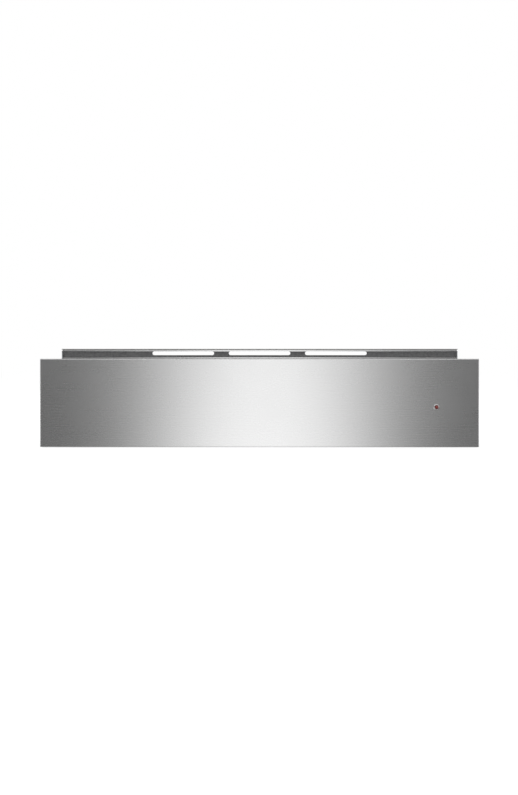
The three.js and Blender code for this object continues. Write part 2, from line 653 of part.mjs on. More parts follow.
// ---------------------------------------------------------------- ribbed mat
const MAT_THICK = 1.8;
const MAT_RIB_HEIGHT = 1;
const MAT_RIB_WIDTH = 3;
const MAT_RIB_PITCH = 18;
const MAT_MARGIN = 3;
const matX = [-floorHalf + MAT_MARGIN, floorHalf - MAT_MARGIN];
const matY = [innerFrontY[1] + MAT_MARGIN, tubBack - SHEET - BACK_HEM - MAT_MARGIN];
const matBottom = floorTop + FIT;

function floorMat() {
  const ribs = [];
  const count = Math.floor((matY[1] - matY[0] - 2 * MAT_RIB_WIDTH) / MAT_RIB_PITCH);
  const first = (matY[0] + matY[1] - (count - 1) * MAT_RIB_PITCH) / 2;
  for (let i = 0; i < count; i++) {
    const y = first + i * MAT_RIB_PITCH;
    const width = [matX[0] + MAT_RIB_WIDTH, matX[1] - MAT_RIB_WIDTH];
    const height = [matBottom + MAT_THICK / 2, matBottom + MAT_THICK + MAT_RIB_HEIGHT];
    ribs.push(box(width, [y - MAT_RIB_WIDTH / 2, y + MAT_RIB_WIDTH / 2], height));
  }
  return join(box(matX, matY, [matBottom, matBottom + MAT_THICK]), ribs);
}
piece("floor_mat", floorMat(), silicone);

// ---------------------------------------------------------------- controls, in the tub's front rail
const panelZ = [tubTop + FIT, tubTop + FIT + PANEL_THICK];
const panelX = [tubInner - PANEL_INSET - PANEL_LENGTH, tubInner - PANEL_INSET];
const panelY = [innerFrontY[0] + PANEL_INSET, innerFrontY[1] - PANEL_INSET];
const controlY = (panelY[0] + panelY[1]) / 2;
const knobX = panelX[1] - KNOB_FROM_END;
const buttonX = panelX[1] - BUTTON_FROM_END;
const knobBottom = panelZ[1] + FIT;
const railUnderside = tubTop - SHEET;

function innerFront() {
  const half = floorHalf;
  const foot = floorTop + FIT;
  const [front, back] = innerFrontY;
  const section = outline([
    [front, foot],
    [front + SHEET, foot],
    [front + SHEET, railUnderside],
    [back - SHEET, railUnderside],
    [back - SHEET, foot],
    [back, foot],
    [back, tubTop],
    [front, tubTop],
  ]);
  const drill = (r, x) => rod(r + HOLE_CLEARANCE, 4 * SHEET, "z", [x, controlY, tubTop - 2 * SHEET]);
  return cut(
    extrude(section, "x", [-half, half]),
    drill(SPINDLE_RADIUS, knobX),
    drill(BUTTON_RADIUS, buttonX),
  );
}
piece("inner_front", innerFront(), tubSteel);

function controlPanel() {
  const [x0, x1] = panelX;
  const [y0, y1] = panelY;
  const r = PANEL_CORNER;
  const shape = new THREE.Shape();
  shape.absarc(x1 - r, y0 + r, r, -Math.PI / 2, 0, false);
  shape.absarc(x1 - r, y1 - r, r, 0, Math.PI / 2, false);
  shape.absarc(x0 + r, y1 - r, r, Math.PI / 2, Math.PI, false);
  shape.absarc(x0 + r, y0 + r, r, Math.PI, (3 * Math.PI) / 2, false);
  const drill = (r, x) =>
    rod(r + HOLE_CLEARANCE, 2 * PANEL_THICK, "z", [x, controlY, panelZ[0] - PANEL_THICK / 2]);
  return cut(
    extrude(shape.closePath(), "z", panelZ),
    drill(SPINDLE_RADIUS, knobX),
    drill(BUTTON_RADIUS, buttonX),
  );
}
piece("control_panel", controlPanel(), blackGlass);

const spindleEnd = knobBottom - SPINDLE_LENGTH;

// The knob and its spindle turn as one: a drum with finger grooves and a raised pointer.
function thermostatKnob() {
  const at = [knobX, controlY, knobBottom];
  const [r, h, chamfer] = [KNOB_RADIUS, KNOB_HEIGHT, KNOB_CHAMFER];
  const profile = [[0, 0], [r, 0], [r, h - chamfer], [r - chamfer, h], [0, h]];
  const drum = turned(profile, "z", at, KNOB_SEGMENTS);
  const grooves = [];
  for (let i = 0; i < KNOB_GRIPS; i++) {
    const a = (2 * Math.PI * (i + 0.5)) / KNOB_GRIPS;
    const reach = r + GRIP_RADIUS / 3;
    const [x, y] = [knobX + reach * Math.cos(a), controlY + reach * Math.sin(a)];
    grooves.push(rod(GRIP_RADIUS, h, "z", [x, y, knobBottom + PANEL_THICK], GRIP_SEGMENTS));
  }
  const pointer = box(
    [knobX - POINTER_WIDTH / 2, knobX + POINTER_WIDTH / 2],
    [controlY - r, controlY - r + POINTER_LENGTH],
    [knobBottom, knobBottom + h + POINTER_PROUD],
  );
  const spindle = rod(SPINDLE_RADIUS, SPINDLE_LENGTH + chamfer, "z", [knobX, controlY, spindleEnd]);
  return join(cut(drum, grooves), pointer, spindle);
}
piece("thermostat_knob", thermostatKnob(), darkPlastic);

// The thermostat and the switch hang under the rail's sheet.
const housingTop = railUnderside - FIT;
const housing = ([w, d, h], x) =>
  box([x - w / 2, x + w / 2], [controlY - d / 2, controlY + d / 2], [housingTop - h, housingTop]);
const thermostatBody = cut(
  housing(THERMOSTAT_SIZE, knobX),
  rod(
    SPINDLE_RADIUS + HOLE_CLEARANCE,
    railUnderside - spindleEnd + 2 * FIT,
    "z",
    [knobX, controlY, spindleEnd - FIT],
  ),
);
piece("thermostat_body", thermostatBody, palePlastic);

// The button's cap rides in the panel's hole, and its stem goes down into the switch.
const buttonTop = panelZ[1] + BUTTON_PROUD;
const buttonBottom = railUnderside + BUTTON_TRAVEL;
const buttonHeight = buttonTop - buttonBottom;
const stemBottom = buttonBottom - BUTTON_TRAVEL - 2 * FIT;
const powerButton = join(
  turned(
    [
      [0, 0],
      [BUTTON_RADIUS, 0],
      [BUTTON_RADIUS, buttonHeight - BUTTON_CHAMFER],
      [BUTTON_RADIUS - BUTTON_CHAMFER, buttonHeight],
      [0, buttonHeight],
    ],
    "z",
    [buttonX, controlY, buttonBottom],
    FINE_SEGMENTS,
  ),
  rod(BUTTON_STEM_RADIUS, buttonBottom - stemBottom + SHEET, "z", [buttonX, controlY, stemBottom]),
);
piece("power_button", powerButton, darkPlastic);

const switchBody = cut(
  housing(SWITCH_SIZE, buttonX),
  rod(
    BUTTON_STEM_RADIUS + HOLE_CLEARANCE,
    2 * BUTTON_TRAVEL + 4 * FIT,
    "z",
    [buttonX, controlY, stemBottom - BUTTON_TRAVEL - FIT],
  ),
);
piece("switch_body", switchBody, palePlastic);

// ---------------------------------------------------------------- fascia, liner, seal and lamp
const LAMP_FROM_EDGE = 57.5; // lamp's axis to the fascia's right edge
const LAMP_FROM_BOTTOM = 54;
const BEZEL_RADIUS = 4;
const LENS_RADIUS = 2.5;
const BEZEL_WALL = 0.6;
const LENS_DOME = 0.9;
const BEZEL_INNER = 0.8; // height of the ring's inner edge, as a share of BEZEL_PROUD
const LENS_MIDDLE = 0.7; // height of the lens's middle, as a share of BEZEL_PROUD
const LENS_SHOULDER = [0.6, 0.25]; // shares of the radius and of the dome's drop
const LAMP_BODY_LENGTH = 12;
const LAMP_FLANGE = 3; // radial, on the lamp's body behind the fascia
const lampX = FASCIA_WIDTH / 2 - LAMP_FROM_EDGE;
const lampZ = FASCIA_LIFT + LAMP_FROM_BOTTOM;
const sleeveRadius = LENS_RADIUS + HOLE_CLEARANCE + BEZEL_WALL;

function fascia() {
  const [w, h, b] = [FASCIA_WIDTH, FASCIA_HEIGHT, FASCIA_BEND];
  const [x, z] = [w / 2 - b, h / 2 - b];
  const face = outline([[-x, -z], [x, -z], [x, z], [-x, z]]);
  const geometry = new THREE.ExtrudeGeometry(face, {
    depth: FASCIA_DEPTH - b,
    bevelSize: b,
    bevelThickness: b,
    bevelSegments: 3,
  });
  geometry.applyMatrix4(new THREE.Matrix4().makeBasis(...AXES.y));
  const skin = solidOf(geometry.translate(0, fasciaBack, FASCIA_LIFT + h / 2));
  const behind = box([-w, w], [fasciaBack, fasciaBack + FASCIA_DEPTH], [-h, 2 * h]);
  const inside = box(
    [-w / 2 + FASCIA_SHEET, w / 2 - FASCIA_SHEET],
    [fasciaFront + FASCIA_SHEET, fasciaBack + FASCIA_DEPTH],
    [FASCIA_LIFT + FASCIA_SHEET, fasciaTop - FASCIA_SHEET],
  );
  const lampHole = rod(sleeveRadius + HOLE_CLEARANCE, 4 * FASCIA_SHEET, "y", [
    lampX,
    fasciaFront - FASCIA_SHEET,
    lampZ,
  ]);
  return cut(skin, behind, inside, lampHole);
}
piece("front_fascia", fascia(), brushedSteel);

// The liner closes the back of the fascia, and the tub's front rail is screwed to it.
const LINER_FLANGE = 12; // turned forward, inside the fascia's edges
function frontLiner() {
  const half = FASCIA_WIDTH / 2 - FASCIA_SHEET - FIT;
  const [low, high] = [FASCIA_LIFT + FASCIA_SHEET + FIT, fasciaTop - FASCIA_SHEET - FIT];
  const back = fasciaBack;
  const tray = box([-half, half], [back - LINER_FLANGE, back], [low, high]);
  const hollow = box(
    [-half + SHEET, half - SHEET],
    [back - LINER_FLANGE - SHEET, back - SHEET],
    [low + SHEET, high - SHEET],
  );
  return cut(tray, hollow);
}
piece("front_liner", frontLiner(), galvanised);

function frontSeal() {
  const outerX = wallOuter + FRONT_FLANGE - FLANGE_END_GAP;
  const [low, high] = [FLANGE_LOW, ceilingTop - FLANGE_END_GAP];
  const y = [fasciaBack + FIT, fasciaBack + FIT + SEAL_THICK];
  const ring = box([-outerX, outerX], y, [low, high]);
  const hole = box(
    [-outerX + SEAL_WIDTH, outerX - SEAL_WIDTH],
    [y[0] - SEAL_THICK, y[1] + SEAL_THICK],
    [low + SEAL_WIDTH, high - SEAL_WIDTH],
  );
  return cut(ring, hole);
}
piece("front_seal", frontSeal(), silicone);

const lampAt = [lampX, fasciaFront, lampZ];
const bore = LENS_RADIUS + HOLE_CLEARANCE;
const bezel = turned(
  [
    [bore, -BEZEL_PROUD * BEZEL_INNER],
    [bore, FASCIA_SHEET + FIT],
    [sleeveRadius, FASCIA_SHEET + FIT],
    [sleeveRadius, -FIT],
    [BEZEL_RADIUS, -FIT],
    [BEZEL_RADIUS - BEZEL_WALL, -BEZEL_PROUD],
    [bore + BEZEL_WALL / 3, -BEZEL_PROUD],
    [bore, -BEZEL_PROUD * BEZEL_INNER],
  ],
  "y",
  lampAt,
  FINE_SEGMENTS,
);
piece("lamp_bezel", bezel, chrome);

const lensFront = -BEZEL_PROUD * LENS_MIDDLE;
const lensBack = FASCIA_SHEET + 2 * FIT;
const lens = turned(
  [
    [0, lensFront],
    [LENS_RADIUS * LENS_SHOULDER[0], lensFront + LENS_DOME * LENS_SHOULDER[1]],
    [LENS_RADIUS, lensFront + LENS_DOME],
    [LENS_RADIUS, lensBack],
    [0, lensBack],
  ],
  "y",
  lampAt,
  FINE_SEGMENTS,
);
piece("lamp_lens", lens, redLens);

const holderFront = fasciaFront + FASCIA_SHEET + 2 * FIT;
const lampHolder = join(
  rod(sleeveRadius + LAMP_FLANGE, SHEET, "y", [lampX, holderFront + FIT, lampZ]),
  rod(sleeveRadius + BEZEL_WALL, LAMP_BODY_LENGTH, "y", [lampX, holderFront + FIT, lampZ]),
);
piece("lamp_holder", lampHolder, palePlastic);

// ---------------------------------------------------------------- hot-air unit behind the tub
const bafflePlane = tubBack + PUSH_IN + BAFFLE_GAP;
const heaterBoxFront = bafflePlane + SHEET + FIT;
const heaterBoxBack = heaterBoxFront + HEATER_BOX_DEPTH;
const fanFront = heaterBoxFront + FAN_BEHIND_GRILLE;
const fanBack = fanFront + FAN_WIDTH;
const ringPlane = (fanFront + fanBack) / 2;
const heaterEndY = heaterBoxBack + HEATER_TERMINAL_LENGTH;
const heaterEndZ = fanZ + heaterRingRadius;

const baffleX = [-HEATER_BOX_WIDTH / 2, HEATER_BOX_WIDTH / 2];
const baffle = box(baffleX, [bafflePlane, bafflePlane + SHEET], [heaterBoxBottom, heaterBoxTop]);
piece("baffle_grille", cut(baffle, airSlots(bafflePlane)), galvanised);

// A tray on its side, open to the grille, with holes for the heater's ends and the fan's axle.
function heaterBox() {
  const half = HEATER_BOX_WIDTH / 2;
  const t = HEATER_BOX_SHEET;
  const low = heaterBoxBottom;
  const shell = cut(
    box([-half, half], [heaterBoxFront, heaterBoxBack], [low, heaterBoxTop]),
    box([-half + t, half - t], [heaterBoxFront - t, heaterBoxBack - t], [low + t, heaterBoxTop - t]),
  );
  const through = (r, x, z) => rod(r, 4 * t, "y", [x, heaterBoxBack - 2 * t, z], SMALL_SEGMENTS);
  return cut(
    shell,
    through(AXLE_RADIUS + HOLE_CLEARANCE, 0, fanZ),
    [-1, 1].map((s) =>
      through(HEATER_TUBE_RADIUS + HOLE_CLEARANCE, s * HEATER_TERMINAL_SPREAD, heaterEndZ),
    ),
  );
}
piece("heater_box", heaterBox(), galvanised);

// One tube: in through the back wall, once round the fan, and out again.
class HeaterPath extends THREE.Curve {
  constructor() {
    super();
    const bend = HEATER_BEND * HEATER_TUBE_RADIUS;
    const open = Math.asin(HEATER_TERMINAL_SPREAD / heaterRingRadius) + bend / heaterRingRadius;
    const points = [
      new THREE.Vector3(-HEATER_TERMINAL_SPREAD, heaterEndY, heaterEndZ),
      new THREE.Vector3(-HEATER_TERMINAL_SPREAD, heaterBoxBack - bend / 2, heaterEndZ),
      new THREE.Vector3(-HEATER_TERMINAL_SPREAD, ringPlane + bend, heaterEndZ),
    ];
    for (let i = 0; i <= HEATER_RING_POINTS; i++) {
      const a = Math.PI / 2 + open + ((2 * Math.PI - 2 * open) * i) / HEATER_RING_POINTS;
      const [x, z] = [heaterRingRadius * Math.cos(a), fanZ + heaterRingRadius * Math.sin(a)];
      points.push(new THREE.Vector3(x, ringPlane, z));
    }
    const start = points.slice(0, 3).map((p) => new THREE.Vector3(-p.x, p.y, p.z));
    this.line = new THREE.CatmullRomCurve3([...points, ...start.reverse()]);
  }
  getPoint(t, target = new THREE.Vector3()) {
    return this.line.getPoint(t, target);
  }
}
function tube(path, radius, sides, steps) {
  const section = new THREE.Shape();
  for (let i = 0; i < sides; i++) {
    const a = (2 * Math.PI * i) / sides;
    const point = [radius * Math.cos(a), radius * Math.sin(a)];
    i ? section.lineTo(...point) : section.moveTo(...point);
  }
  section.closePath();
  return solidOf(new THREE.ExtrudeGeometry(section, { steps, extrudePath: path, bevelEnabled: false }));
}
const heater = tube(new HeaterPath(), HEATER_TUBE_RADIUS, HEATER_SIDES, HEATER_STEPS);
piece("heating_element", heater, heaterSheath);

function fanWheel() {
  const plate = turned(
    [[0, fanBack - FAN_PLATE], [fanRadius, fanBack - FAN_PLATE], [fanRadius, fanBack], [0, fanBack]],
    "y",
    [0, 0, fanZ],
    2 * FAN_BLADES,
  );
  const inner = fanRadius * FAN_EYE;
  const middle = (fanFront + fanBack - FAN_PLATE / 2) / 2;
  const blades = [];
  for (let i = 0; i < FAN_BLADES; i++) {
    const blade = new THREE.BoxGeometry(fanRadius - inner, FAN_WIDTH - FAN_PLATE / 2, BLADE_THICK);
    blade.rotateY(BLADE_ANGLE);
    blade.translate((fanRadius + inner) / 2 - BLADE_THICK, middle, 0);
    blade.rotateY((2 * Math.PI * i) / FAN_BLADES);
    blades.push(solidOf(blade.translate(0, 0, fanZ)));
  }
  const hub = rod(FAN_HUB_RADIUS, FAN_WIDTH / 2, "y", [0, fanBack - FAN_WIDTH / 2, fanZ]);
  const axleEnd = heaterBoxBack + MOTOR_STANDOFF + MOTOR_STACK[1] / 2;
  const axleAt = [0, fanBack - FAN_PLATE, fanZ];
  const axle = rod(AXLE_RADIUS, axleEnd - fanBack + FAN_PLATE, "y", axleAt, SMALL_SEGMENTS);
  return join(plate, blades, hub, axle);
}
piece("fan_wheel", fanWheel(), fanAluminium);

// A shaded-pole motor: laminated iron with a coil below, on two legs against the heater box.
function fanMotor() {
  const [w, d, h] = MOTOR_STACK;
  const [cw, cd, ch] = MOTOR_COIL;
  const front = heaterBoxBack + MOTOR_STANDOFF;
  const middle = front + d / 2;
  const legLength = MOTOR_STANDOFF - FIT + d / 2;
  const coilZ = [fanZ - (h + ch) / 2, fanZ - (h - ch) / 2];
  const stack = box([-w / 2, w / 2], [front, front + d], [fanZ - h / 2, fanZ + h / 2]);
  const coil = box([-cw / 2, cw / 2], [middle - cd / 2, middle + cd / 2], coilZ);
  const boss = rod(MOTOR_BOSS_RADIUS, d + MOTOR_LEG, "y", [0, front - MOTOR_LEG / 2, fanZ]);
  const legs = [-1, 1].map((s) => {
    const at = [s * (w / 2 - MOTOR_LEG), heaterBoxBack + FIT, fanZ];
    return rod(MOTOR_LEG / 2, legLength, "y", at, SMALL_SEGMENTS);
  });
  const boreLength = MOTOR_STANDOFF + d / 2 + FIT;
  const bored = [0, heaterBoxBack, fanZ];
  return cut(
    join(stack, coil, boss, legs),
    rod(AXLE_RADIUS + HOLE_CLEARANCE, boreLength, "y", bored, SMALL_SEGMENTS),
  );
}
piece("fan_motor", fanMotor(), motorIron);

// A snap-disc cut-out on top of the heater box.
const CUTOUT_RADIUS = 8;
const CUTOUT_HEIGHT = 5;
const CUTOUT_RIM = 2; // radial, at its foot
const CUTOUT_X = 60;
const BLADE_TERMINAL = [4.8, 0.8, 3];
function overheatCutout() {
  const y = (heaterBoxFront + heaterBoxBack) / 2;
  const base = heaterBoxTop + FIT;
  const disc = turned(
    [
      [0, 0],
      [CUTOUT_RADIUS + CUTOUT_RIM, 0],
      [CUTOUT_RADIUS + CUTOUT_RIM, SHEET],
      [CUTOUT_RADIUS, SHEET],
      [CUTOUT_RADIUS, CUTOUT_HEIGHT],
      [0, CUTOUT_HEIGHT],
    ],
    "z",
    [CUTOUT_X, y, base],
  );
  const [w, t, h] = BLADE_TERMINAL;
  const bladeZ = [base + CUTOUT_HEIGHT - t, base + CUTOUT_HEIGHT + h];
  const blades = [-1, 1].map((s) => {
    const x = CUTOUT_X + (s * CUTOUT_RADIUS) / 2;
    return box([x - t / 2, x + t / 2], [y - w / 2, y + w / 2], bladeZ);
  });
  return join(disc, blades);
}
piece("overheat_cutout", overheatCutout(), darkPlastic);

// ---------------------------------------------------------------- mains terminal, gland and curly lead
const TERMINAL_SIZE = [44, 30, 28];
const GLAND_RADIUS = 7;
const GLAND_BORE = 3.6;
const GLAND_NUT = 4; // radial, beyond the gland's barrel, and its thickness
const NUT_FLATS = 6;
const GLAND_Z = 48;
const terminalX = [basePanHalf - SHEET - FIT - TERMINAL_SIZE[0], basePanHalf - SHEET - FIT];
const terminalBack = basePanBack - SHEET - FIT;
const terminalFront = terminalBack - TERMINAL_SIZE[1];
const glandX = (terminalX[0] + terminalX[1]) / 2;
const terminalZ = [SHEET + FIT, SHEET + FIT + TERMINAL_SIZE[2]];
const terminalBlock = box(terminalX, [terminalFront, terminalBack], terminalZ);
piece("terminal_block", terminalBlock, palePlastic);

// The curly lead lies closed between the terminal block and the tub's tab. This is the
// space that its curls fill: a round bundle, drawn in to the bare wire at each end.
const LEAD_WIRE_RADIUS = 1.4;
const LEAD_TAPER = 6;
const LEAD_SIDES = 12;
const leadY = [leadTabY + LEAD_TAB_SHEET + FIT, terminalFront - FIT];
const leadLength = leadY[1] - leadY[0];
const leadBundle = turned(
  [
    [0, 0],
    [LEAD_WIRE_RADIUS, 0],
    [LEAD_WIRE_RADIUS, 2 * LEAD_WIRE_RADIUS],
    [LEAD_RADIUS, LEAD_TAPER],
    [LEAD_RADIUS, leadLength - LEAD_TAPER],
    [LEAD_WIRE_RADIUS, leadLength - 2 * LEAD_WIRE_RADIUS],
    [LEAD_WIRE_RADIUS, leadLength],
    [0, leadLength],
  ],
  "y",
  [leadX, leadY[0], LEAD_Z],
  LEAD_SIDES,
);
piece("curly_lead", leadBundle, silicone);

const barrel = rod(GLAND_RADIUS, GLAND_NUT + SHEET + GLAND_PROUD, "y", [
  glandX,
  chassisBack - SHEET - GLAND_NUT,
  GLAND_Z,
]);
const nutRadius = GLAND_RADIUS + GLAND_NUT;
const nutGeometry = new THREE.CylinderGeometry(nutRadius, nutRadius, GLAND_NUT, NUT_FLATS);
const nut = solidOf(nutGeometry.translate(glandX, chassisBack + FIT + GLAND_NUT / 2, GLAND_Z));
const glandThrough = rod(GLAND_BORE, 4 * GLAND_NUT + 2 * GLAND_PROUD, "y", [
  glandX,
  chassisBack - 2 * GLAND_NUT,
  GLAND_Z,
]);
piece("cable_gland", cut(join(barrel, nut), glandThrough), darkPlastic);

const REAR_SLOT_LENGTH = 34;
const REAR_SLOT_WIDTH = 3.8;
const REAR_SLOT_PITCH = 11;
const REAR_SLOTS = 6; // in each of two groups
const REAR_SLOT_START = 70;
const REAR_FLANGE = 12;
const REAR_SCREW_EDGE = 11; // screw centres to the panel's side edges
const REAR_SCREW_Z = 84;

const rearHalf = wallInner - FIT;
const rearScrewX = rearHalf - REAR_SCREW_EDGE;

// The rear panel stands between the side walls, on the base pan's rear flange, under the ceiling.
function rearPanel() {
  const half = rearHalf;
  const z = [FIT, ceilingBottom - FIT];
  const panel = join(
    box([-half, half], [chassisBack - SHEET, chassisBack], z),
    SIDES.map(([, side]) =>
      box(
        across(side, half - SHEET, half),
        [chassisBack - REAR_FLANGE, chassisBack],
        [BASE_FLANGE + FIT, ceilingTop - CEILING_DROP - FIT],
      ),
    ),
  );
  const slots = [];
  for (let i = 0; i < REAR_SLOTS; i++)
    for (const side of [-1, 1]) {
      const x = side * (REAR_SLOT_START + i * REAR_SLOT_PITCH);
      const shape = slotOutline(x, fanZ, REAR_SLOT_LENGTH, REAR_SLOT_WIDTH, true);
      slots.push(extrude(shape, "y", [chassisBack - 2 * SHEET, chassisBack + SHEET], SLOT_SEGMENTS));
    }
  const drill = (r, x, z, segments) =>
    rod(r, 4 * SHEET, "y", [x, chassisBack - 3 * SHEET, z], segments);
  const gland = drill(GLAND_RADIUS + HOLE_CLEARANCE, glandX, GLAND_Z);
  const screws = SIDES.map(([, side]) =>
    drill(screwHole, side * rearScrewX, REAR_SCREW_Z, SMALL_SEGMENTS),
  );
  return cut(panel, slots, gland, screws);
}
piece("rear_panel", rearPanel(), galvanised);
for (const [name, side] of SIDES) {
  const at = [side * rearScrewX, chassisBack + FIT, REAR_SCREW_Z];
  piece(`rear_screw_${name}`, panScrew("y", at, 1), zincPlated);
}

// ---------------------------------------------------------------- push latch under the tub
const LATCH_WIDTH = 60;
const LATCH_LENGTH = 46;
const LATCH_WALL = 1.6;
const LATCH_BEHIND = 4; // latch's back to the tub's back wall
const LATCH_MOUTH = 16;
const STRIKER_WIDTH = 5;
const STRIKER_LENGTH = 6;
const STRIKER_FROM_MOUTH = 20;
const STRIKER_DROP = 6.6; // below the floor's rivet plate
const LEVER_THICK = 4;
const LEVER_ARM = 15;
const LEVER_WIDTH = 5;
const PIVOT_RADIUS = 2;
const PIVOT_X = -17;
const PIVOT_INSET = 0.5; // its ends from the latch's underside and top
const PIVOT_SEGMENTS = 20;
const LEVER_EYE = 2.2; // eye's radius, in radii of the pivot
const LEVER_ANGLE = -42; // degrees from +X, seen from above

const latchY = [tubBack - LATCH_BEHIND - LATCH_LENGTH, tubBack - LATCH_BEHIND];
const latchZ = [SHEET + FIT, FLOOR_HEIGHT - 2 * SHEET - FIT];
const pivotY = latchY[1] - 3 * PIVOT_RADIUS - LATCH_WALL;
const leverZ = [latchZ[0] + LATCH_WALL + FIT, latchZ[0] + LATCH_WALL + FIT + LEVER_THICK];

function latchBody() {
  const half = LATCH_WIDTH / 2;
  const hollowX = [-half + LATCH_WALL, half - LATCH_WALL];
  const hollowY = [latchY[0] + LATCH_WALL, latchY[1] - LATCH_WALL];
  const mouthX = [-LATCH_MOUTH / 2, LATCH_MOUTH / 2];
  const mouthY = [latchY[0] - LATCH_WALL, latchY[0] + 2 * LATCH_WALL];
  const hollowZ = [latchZ[0] + LATCH_WALL, latchZ[1] + LATCH_WALL];
  const tray = cut(
    box([-half, half], latchY, latchZ),
    box(hollowX, hollowY, hollowZ),
    box(mouthX, mouthY, hollowZ),
  );
  const pivotAt = [PIVOT_X, pivotY, latchZ[0] + PIVOT_INSET];
  const pivotLength = latchZ[1] - latchZ[0] - 2 * PIVOT_INSET;
  const pivot = rod(PIVOT_RADIUS, pivotLength, "z", pivotAt, PIVOT_SEGMENTS);
  return join(tray, pivot);
}
piece("latch_body", latchBody(), darkPlastic);

function latchLever() {
  const arm = new THREE.BoxGeometry(LEVER_ARM, LEVER_WIDTH, LEVER_THICK);
  arm.translate(LEVER_ARM / 2, 0, 0).rotateZ(THREE.MathUtils.degToRad(LEVER_ANGLE));
  const lift = leverZ[0] + LEVER_THICK / 2;
  const eye = rod(PIVOT_RADIUS * LEVER_EYE, LEVER_THICK, "z", [PIVOT_X, pivotY, leverZ[0]]);
  const boreAt = [PIVOT_X, pivotY, leverZ[0] - LEVER_THICK];
  return cut(
    join(solidOf(arm.translate(PIVOT_X, pivotY, lift)), eye),
    rod(PIVOT_RADIUS + HOLE_CLEARANCE, 3 * LEVER_THICK, "z", boreAt, PIVOT_SEGMENTS),
  );
}
piece("latch_lever", latchLever(), zincPlated);

const strikerY = latchY[0] + STRIKER_FROM_MOUTH;
const strikerPlateZ = [FLOOR_HEIGHT - FIT - SHEET, FLOOR_HEIGHT - FIT];
const strikerPlateX = [-LATCH_WIDTH / 3, LATCH_WIDTH / 3];
const strikerPlateY = [strikerY - STRIKER_LENGTH, strikerY + 2 * STRIKER_LENGTH];
const striker = join(
  box(strikerPlateX, strikerPlateY, strikerPlateZ),
  box(
    [-STRIKER_WIDTH / 2, STRIKER_WIDTH / 2],
    [strikerY, strikerY + STRIKER_LENGTH],
    [strikerPlateZ[0] - STRIKER_DROP, strikerPlateZ[1]],
  ),
);
piece("latch_striker", striker, zincPlated);

export default model;
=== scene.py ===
import bmesh
import bpy
import numpy as np
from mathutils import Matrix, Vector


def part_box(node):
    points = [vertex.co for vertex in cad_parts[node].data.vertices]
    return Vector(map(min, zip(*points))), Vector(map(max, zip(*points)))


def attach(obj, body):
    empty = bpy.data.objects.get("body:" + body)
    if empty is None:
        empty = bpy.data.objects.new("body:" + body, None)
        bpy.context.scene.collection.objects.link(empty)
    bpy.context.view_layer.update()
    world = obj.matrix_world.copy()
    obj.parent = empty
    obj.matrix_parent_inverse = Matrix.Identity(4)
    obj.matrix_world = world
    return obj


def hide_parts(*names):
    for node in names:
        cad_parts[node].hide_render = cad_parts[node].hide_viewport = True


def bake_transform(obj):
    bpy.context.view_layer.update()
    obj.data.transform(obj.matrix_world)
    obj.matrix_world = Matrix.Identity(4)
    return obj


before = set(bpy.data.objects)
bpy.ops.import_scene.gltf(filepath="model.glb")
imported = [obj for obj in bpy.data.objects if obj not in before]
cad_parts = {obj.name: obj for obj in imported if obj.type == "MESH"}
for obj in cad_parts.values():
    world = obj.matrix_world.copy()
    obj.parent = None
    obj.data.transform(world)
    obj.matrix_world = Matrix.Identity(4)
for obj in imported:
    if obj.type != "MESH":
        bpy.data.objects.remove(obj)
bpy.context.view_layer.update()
MM = 0.001


# ---------------------------------------------------------------- camera
# The photograph looks at the front from about three metres away, a little from the right, with the lens
# level with the rail's top, so that its slots show the white behind the drawer.
PICTURE_HEIGHT = 795  # pixels; it is the longer side
PIXEL = 1.3553 * MM  # size of a photographed pixel at the front's own distance
CAMERA_AWAY = 3.0
CAMERA_HEIGHT = 0.134
CAMERA_SIDE = 0.030
CAMERA_AIM = (-0.0004, 0.0681)  # x and z on the front at the middle of the picture


def linked(name, data):
    """A new object in the scene."""
    made = bpy.data.objects.new(name, data)
    bpy.context.collection.objects.link(made)
    return made


front_y, front_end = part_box("front_fascia")[0].y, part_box("front_fascia")[1].x
aside, drop = CAMERA_SIDE - CAMERA_AIM[0], CAMERA_HEIGHT - CAMERA_AIM[1]
ahead = np.hypot(CAMERA_AWAY, aside)
camera = linked("camera", bpy.data.cameras.new("camera"))
camera.location = (CAMERA_SIDE, front_y - CAMERA_AWAY, CAMERA_HEIGHT)
camera.rotation_euler = (np.pi / 2 - np.arctan2(drop, ahead), 0, np.arctan2(aside, CAMERA_AWAY))
camera.data.lens = camera.data.sensor_width * np.hypot(ahead, drop) / (PICTURE_HEIGHT * PIXEL)
camera.data.clip_start = 0.01
camera.data.clip_end = 100
bpy.context.scene.camera = camera
bpy.context.scene.view_settings.view_transform = "Standard"


# ---------------------------------------------------------------- studio: floor, tent and lamps
# A white floor and a white room. Metal sees a light tent of soft panels: each side of the drawer faces a
# bright middle that falls off to grey on both sides of it, as the photographed front does.
FLOOR_RADIUS = 8
FLOOR_BELOW = 0.0002  # the floor lies this far under the drawer
FLOOR_GLOW = 0.75
FLOOR_SHADOW = 0.55  # share of the tent's light that is left under the drawer
SHADOW_EDGE = (-0.002, 0.008)  # out from the drawer's outline, where the shadow ends
TENT_RADIUS = 1.7
TENT_HEIGHT = 1.3
TENT_DARK = 0.138
TENT_OUTER = 0.78  # tone well to the side of the panels
TENT_OUTER_FROM = (0.42, 0.80)
PANEL_HALF = 0.168  # from the middle of the bright panel to where it has fallen to a third, at the floor
PANEL_TAPER = 0.14  # what that loses with each metre of height
PANEL_TOP = 0.3  # above this it loses no more
PANEL_ASIDE = 0.008  # its middle, to the right of the drawer's
PANEL_PEAK = 1.14
PANEL_POWER = 2.5  # how square its fall is
ROOM_TONE = 0.62
LAMP_SIZE = 1.8
STUDIO_SIDES = 96


